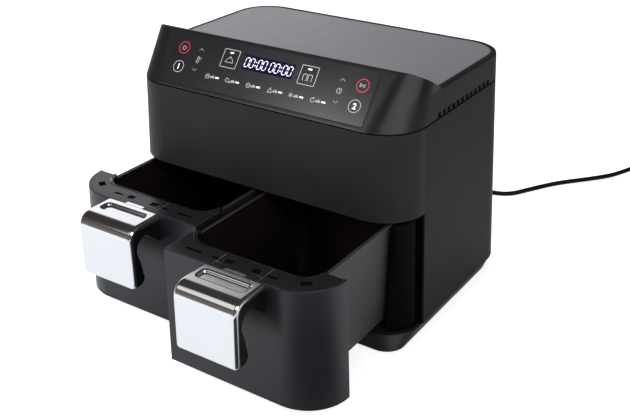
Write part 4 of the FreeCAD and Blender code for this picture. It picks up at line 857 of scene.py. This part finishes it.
def lathe(radii, lengths, start, along, around=96, ripple=None):
    # rings of points round an axis: point = start + length along + radius (cos turn side + sin turn up);
    # both ends close at the axis
    start = np.asarray(start, float)
    along = np.array(along, float) / np.linalg.norm(along)
    side = np.cross(along, [0, 0, 1.0])
    side /= np.linalg.norm(side)
    up = np.cross(side, along)
    count = len(lengths)
    turns = np.linspace(0, 2 * math.pi, around, endpoint=False)[None, :]
    radii = np.asarray(radii, float)[:, None] * (1.0 if ripple is None else ripple(turns))
    radii = np.broadcast_to(radii, (count, around))[:, :, None]
    turns = turns[:, :, None]
    rings = (start + np.asarray(lengths)[:, None, None] * along
             + radii * (np.cos(turns) * side + np.sin(turns) * up))
    points = np.vstack([rings.reshape(-1, 3), start + along * lengths[0], start + along * lengths[-1]])
    k, j = np.meshgrid(np.arange(count - 1), np.arange(around), indexing="ij")
    after = (j + 1) % around
    quads = np.stack([k * around + j, (k + 1) * around + j, (k + 1) * around + after, k * around + after], -1)
    faces = [tuple(face) for face in quads.reshape(-1, 4).tolist()]
    faces += [(count * around, j, (j + 1) % around) for j in range(around)]
    base = (count - 1) * around
    faces += [(count * around + 1, base + (j + 1) % around, base + j) for j in range(around)]
    return points, faces


def outward(piece):
    # turns every face of a closed mesh outwards
    shape = bmesh.new()
    shape.from_mesh(piece.data)
    bmesh.ops.recalc_face_normals(shape, faces=shape.faces)
    shape.to_mesh(piece.data)
    shape.free()
    return piece


def buildLead():
    # the lead: a round section carried along a smooth curve that the points pull
    points = np.array(cord["points"], float) / 1000
    curve = bpy.data.curves.new("mainsLead", "CURVE")
    curve.dimensions, curve.bevel_depth, curve.bevel_resolution = "3D", cord["radius"], cord["roundness"]
    curve.resolution_u, curve.use_fill_caps = cord["smoothness"], True
    spline = curve.splines.new("NURBS")
    spline.points.add(len(points) - 1)
    spline.points.foreach_set("co", np.hstack([points, np.ones((len(points), 1))]).ravel())
    spline.order_u, spline.use_endpoint_u = 3, True
    curve.materials.append(finishes["cord_rubber"])
    lead = inScene("mainsLead", curve)
    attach(lead, "housing")
    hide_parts("mains_cord")

    # the relief: a collar, then ribs that ride on a slow taper: radius = wide to narrow less a rib wave
    b = boot
    steps = np.linspace(0, 1, b["rings"])
    wave = (0.5 - 0.5 * np.cos(2 * math.pi * b["ribs"] * steps)) * b["ribDepth"]
    radii = b["wide"] + (b["narrow"] - b["wide"]) * steps - wave
    radii[[0, -1]] *= b["endShare"]
    start = points[0] - [0, b["length"] + b["collar"], 0]
    lengths = np.concatenate([[0.0], b["collar"] + steps * b["length"]])
    radii = np.concatenate([[b["wide"] * b["collarShare"]], radii])
    relief = meshPiece("cordRelief", *lathe(radii, lengths, start, (0, 1, 0)), finishes["cord_rubber"],
                       "housing")
    outward(relief)
    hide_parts("strain_relief")

    # the plug: sleeve, swelling grip and drum as one turned profile, with shallow flutes round it
    p = plug
    along = points[-1] - points[-2]
    along[2] = 0
    along /= np.linalg.norm(along)
    steps = np.linspace(0, 1, p["rings"])
    radii = np.interp(steps, *zip(*p["profile"])) * p["wide"]
    flutes = lambda turns: 1 - p["ribDepth"] / p["wide"] * (0.5 + 0.5 * np.cos(turns * p["ribs"]))
    turned = lathe(radii, steps * p["length"], points[-1], along, p["around"], flutes)
    body = outward(meshPiece("plugBody", *turned, finishes["plug_plastic"], "housing"))
    side = np.array([-along[1], along[0], 0])
    root = points[-1] + along * (p["length"] - p["pinRoot"])
    radii = [p["pin"], p["pin"], p["pin"] * p["pinTip"]]
    lengths = [0, p["pinLength"], p["pinLength"] + p["pinTipLength"]]
    both = [lathe(radii, lengths, root + side * sign * p["pinSpacing"] / 2, along, p["pinAround"])
            for sign in (-1, 1)]
    pins = outward(meshPiece("plugPins", *joined(both), finishes["shaft_steel"], "housing"))
    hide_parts("mains_plug")


buildLead()
print("mains lead laid")


shot = dict(place=(0.6378, -0.8736, 0.6724), azimuth=33.4, elevation=23.94, lens=55.21, shiftY=-0.08)
# plated: whether a lamp lights the chrome pieces alone (INCLUDE) or everything but them (EXCLUDE)
studioLamps = [
    dict(name="overhead", place=(-0.35, 0.25, 1.8), aim=(0, 0, 0.2), size=(1.4, 1.4), power=23, seen=False),
    dict(name="frontFill", place=(-1.1, -1.9, 1.3), aim=(0, 0, 0.15), size=(1.2, 1.2), power=34, seen=False),
    dict(name="rightFill", place=(2.1, -0.5, 1.1), aim=(0, 0, 0.15), size=(1, 1), power=4, seen=False),
    dict(name="panelSoftbox", place=(-0.9, -1.5, 1.6), aim=(0.05, 0, 0.3), size=(0.56, 0.34), power=7.6,
         seen=True, plated="EXCLUDE"),
    dict(name="chromeCard", place=(-0.9, -1.5, 1.6), aim=(0.05, 0, 0.3), size=(1, 0.95), power=2.4,
         seen=True, plated="INCLUDE"),
    dict(name="cornerStrip", place=(1.12, -0.65, 0.89), aim=(0.17, 0, 0.3), size=(1.9, 0.42), power=9,
         seen=True, along=(1.29, 0.99, -1.01))]
paper = dict(half=12, colour=(0.8, 0.8, 0.8), reflected=(0.745, 0.78, 0.815), glow=0.75, mirrored=0.09,
             flag=(0.36, -0.33), core=0.15, rim=0.27, flagColour=(0.03, 0.028, 0.03))
sky = dict(low=(0.161, 0.138, 0.119), high=(0.01, 0.003, 0), mirrored=0.035, top=0.7,
           lobe=(1.25, 1.25, 1.3), axis=(-0.761, 0.629, 0.152), outer=0.86, inner=0.97)


def placeCamera():
    camera = inScene("camera", bpy.data.cameras.new("camera"))
    camera.location = shot["place"]
    camera.rotation_euler = (math.radians(90 - shot["elevation"]), 0, math.radians(shot["azimuth"]))
    camera.data.lens, camera.data.sensor_width, camera.data.shift_y = shot["lens"], 36.0, shot["shiftY"]
    bpy.context.scene.camera = camera


def placeLamps():
    plated = [piece for piece in bpy.context.scene.objects
              if piece.type == "MESH" and finishes["handle_chrome"] in piece.data.materials[:]]
    for lamp in studioLamps:
        light = bpy.data.lights.new(lamp["name"], "AREA")
        light.shape, light.energy = "RECTANGLE", lamp["power"]
        light.size, light.size_y = lamp["size"]
        held = inScene(lamp["name"], light)
        held.location = lamp["place"]
        back = (Vector(lamp["place"]) - Vector(lamp["aim"])).normalized()
        held.rotation_euler = back.to_track_quat("Z", "Y").to_euler()
        if "along" in lamp:
            # a long lamp lies with its length along a given direction
            across = back.cross(Vector(lamp["along"])).normalized()
            held.rotation_euler = Matrix((across.cross(back), across, back)).transposed().to_euler()
        held.visible_camera, held.visible_glossy = False, lamp["seen"]
        if "plated" in lamp:
            linked = bpy.data.collections.new(lamp["name"] + "Links")
            for piece in plated:
                linked.objects.link(piece)
            for place in linked.collection_objects:
                place.light_linking.link_state = lamp["plated"]
            held.light_linking.receiver_collection = linked


def layFloor():
    half = paper["half"]
    mesh = bpy.data.meshes.new("floor")
    corners = [(-half, -half, 0), (half, -half, 0), (half, half, 0), (-half, half, 0)]
    mesh.from_pydata(corners, [], [(0, 1, 2, 3)])
    inScene("floor", mesh)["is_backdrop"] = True
    made = bpy.data.materials.new("floorPaper")
    made.use_nodes = True
    tree = Tree(made.node_tree)
    # matt paper that glows a little, so that the background stays white; reflections show a dark flag on it
    seen, mirror = tree.outputs("ShaderNodeLightPath", ["Is Camera Ray", "Is Glossy Ray"])
    x, y = tree.axes()[:2]
    acrossX, acrossY = x - paper["flag"][0], y - paper["flag"][1]
    bare = tree.maths("SQRT", acrossX * acrossX + acrossY * acrossY).step(paper["core"], paper["rim"])
    sheet = tree.mix(mirror, paper["colour"], paper["reflected"])
    colour = tree.mix(mirror * (1 - bare), sheet, paper["flagColour"])
    matt = tree.node("ShaderNodeBsdfDiffuse", None, {"Color": colour})
    strength = seen * paper["glow"] + mirror * bare * paper["mirrored"]
    glow = tree.node("ShaderNodeEmission", None, {"Color": (1.0, 1.0, 1.0), "Strength": strength})
    both = tree.node("ShaderNodeAddShader", None, {0: matt, 1: glow})
    tree.node("ShaderNodeOutputMaterial", None, {"Surface": both})
    mesh.materials.append(made)


def lightWorld():
    world = bpy.data.worlds.new("studio")
    bpy.context.scene.world = world
    world.use_nodes = True
    tree = Tree(world.node_tree)
    # white for the camera; else a dim dome, darker at its top, with one bright lobe low behind on the left
    rays = ["Is Camera Ray", "Is Glossy Ray", "Is Transmission Ray"]
    straight, mirror, through = tree.outputs("ShaderNodeLightPath", rays)
    where = tree.node("ShaderNodeTexCoord", out="Generated")
    height = tree.outputs("ShaderNodeSeparateXYZ", "Z", {"Vector": where})[0]
    dome = tree.mix(height.step(0.0, sky["top"]), sky["low"], sky["high"])
    facing = tree.node("ShaderNodeVectorMath", {"operation": "DOT_PRODUCT"}, {0: where, 1: sky["axis"]},
                       out="Value")
    dome = tree.mix(facing.step(sky["outer"], sky["inner"]), dome, sky["lobe"])
    colour = tree.mix(straight + (mirror + through) * sky["mirrored"], dome, (1.0, 1.0, 1.0))
    shown = tree.node("ShaderNodeBackground", None, {"Color": colour, "Strength": 1.0})
    tree.node("ShaderNodeOutputWorld", None, {"Surface": shown})
    bpy.context.scene.view_settings.view_transform = "Standard"


placeCamera()
placeLamps()
layFloor()
lightWorld()
print("stage lit")

low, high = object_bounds()
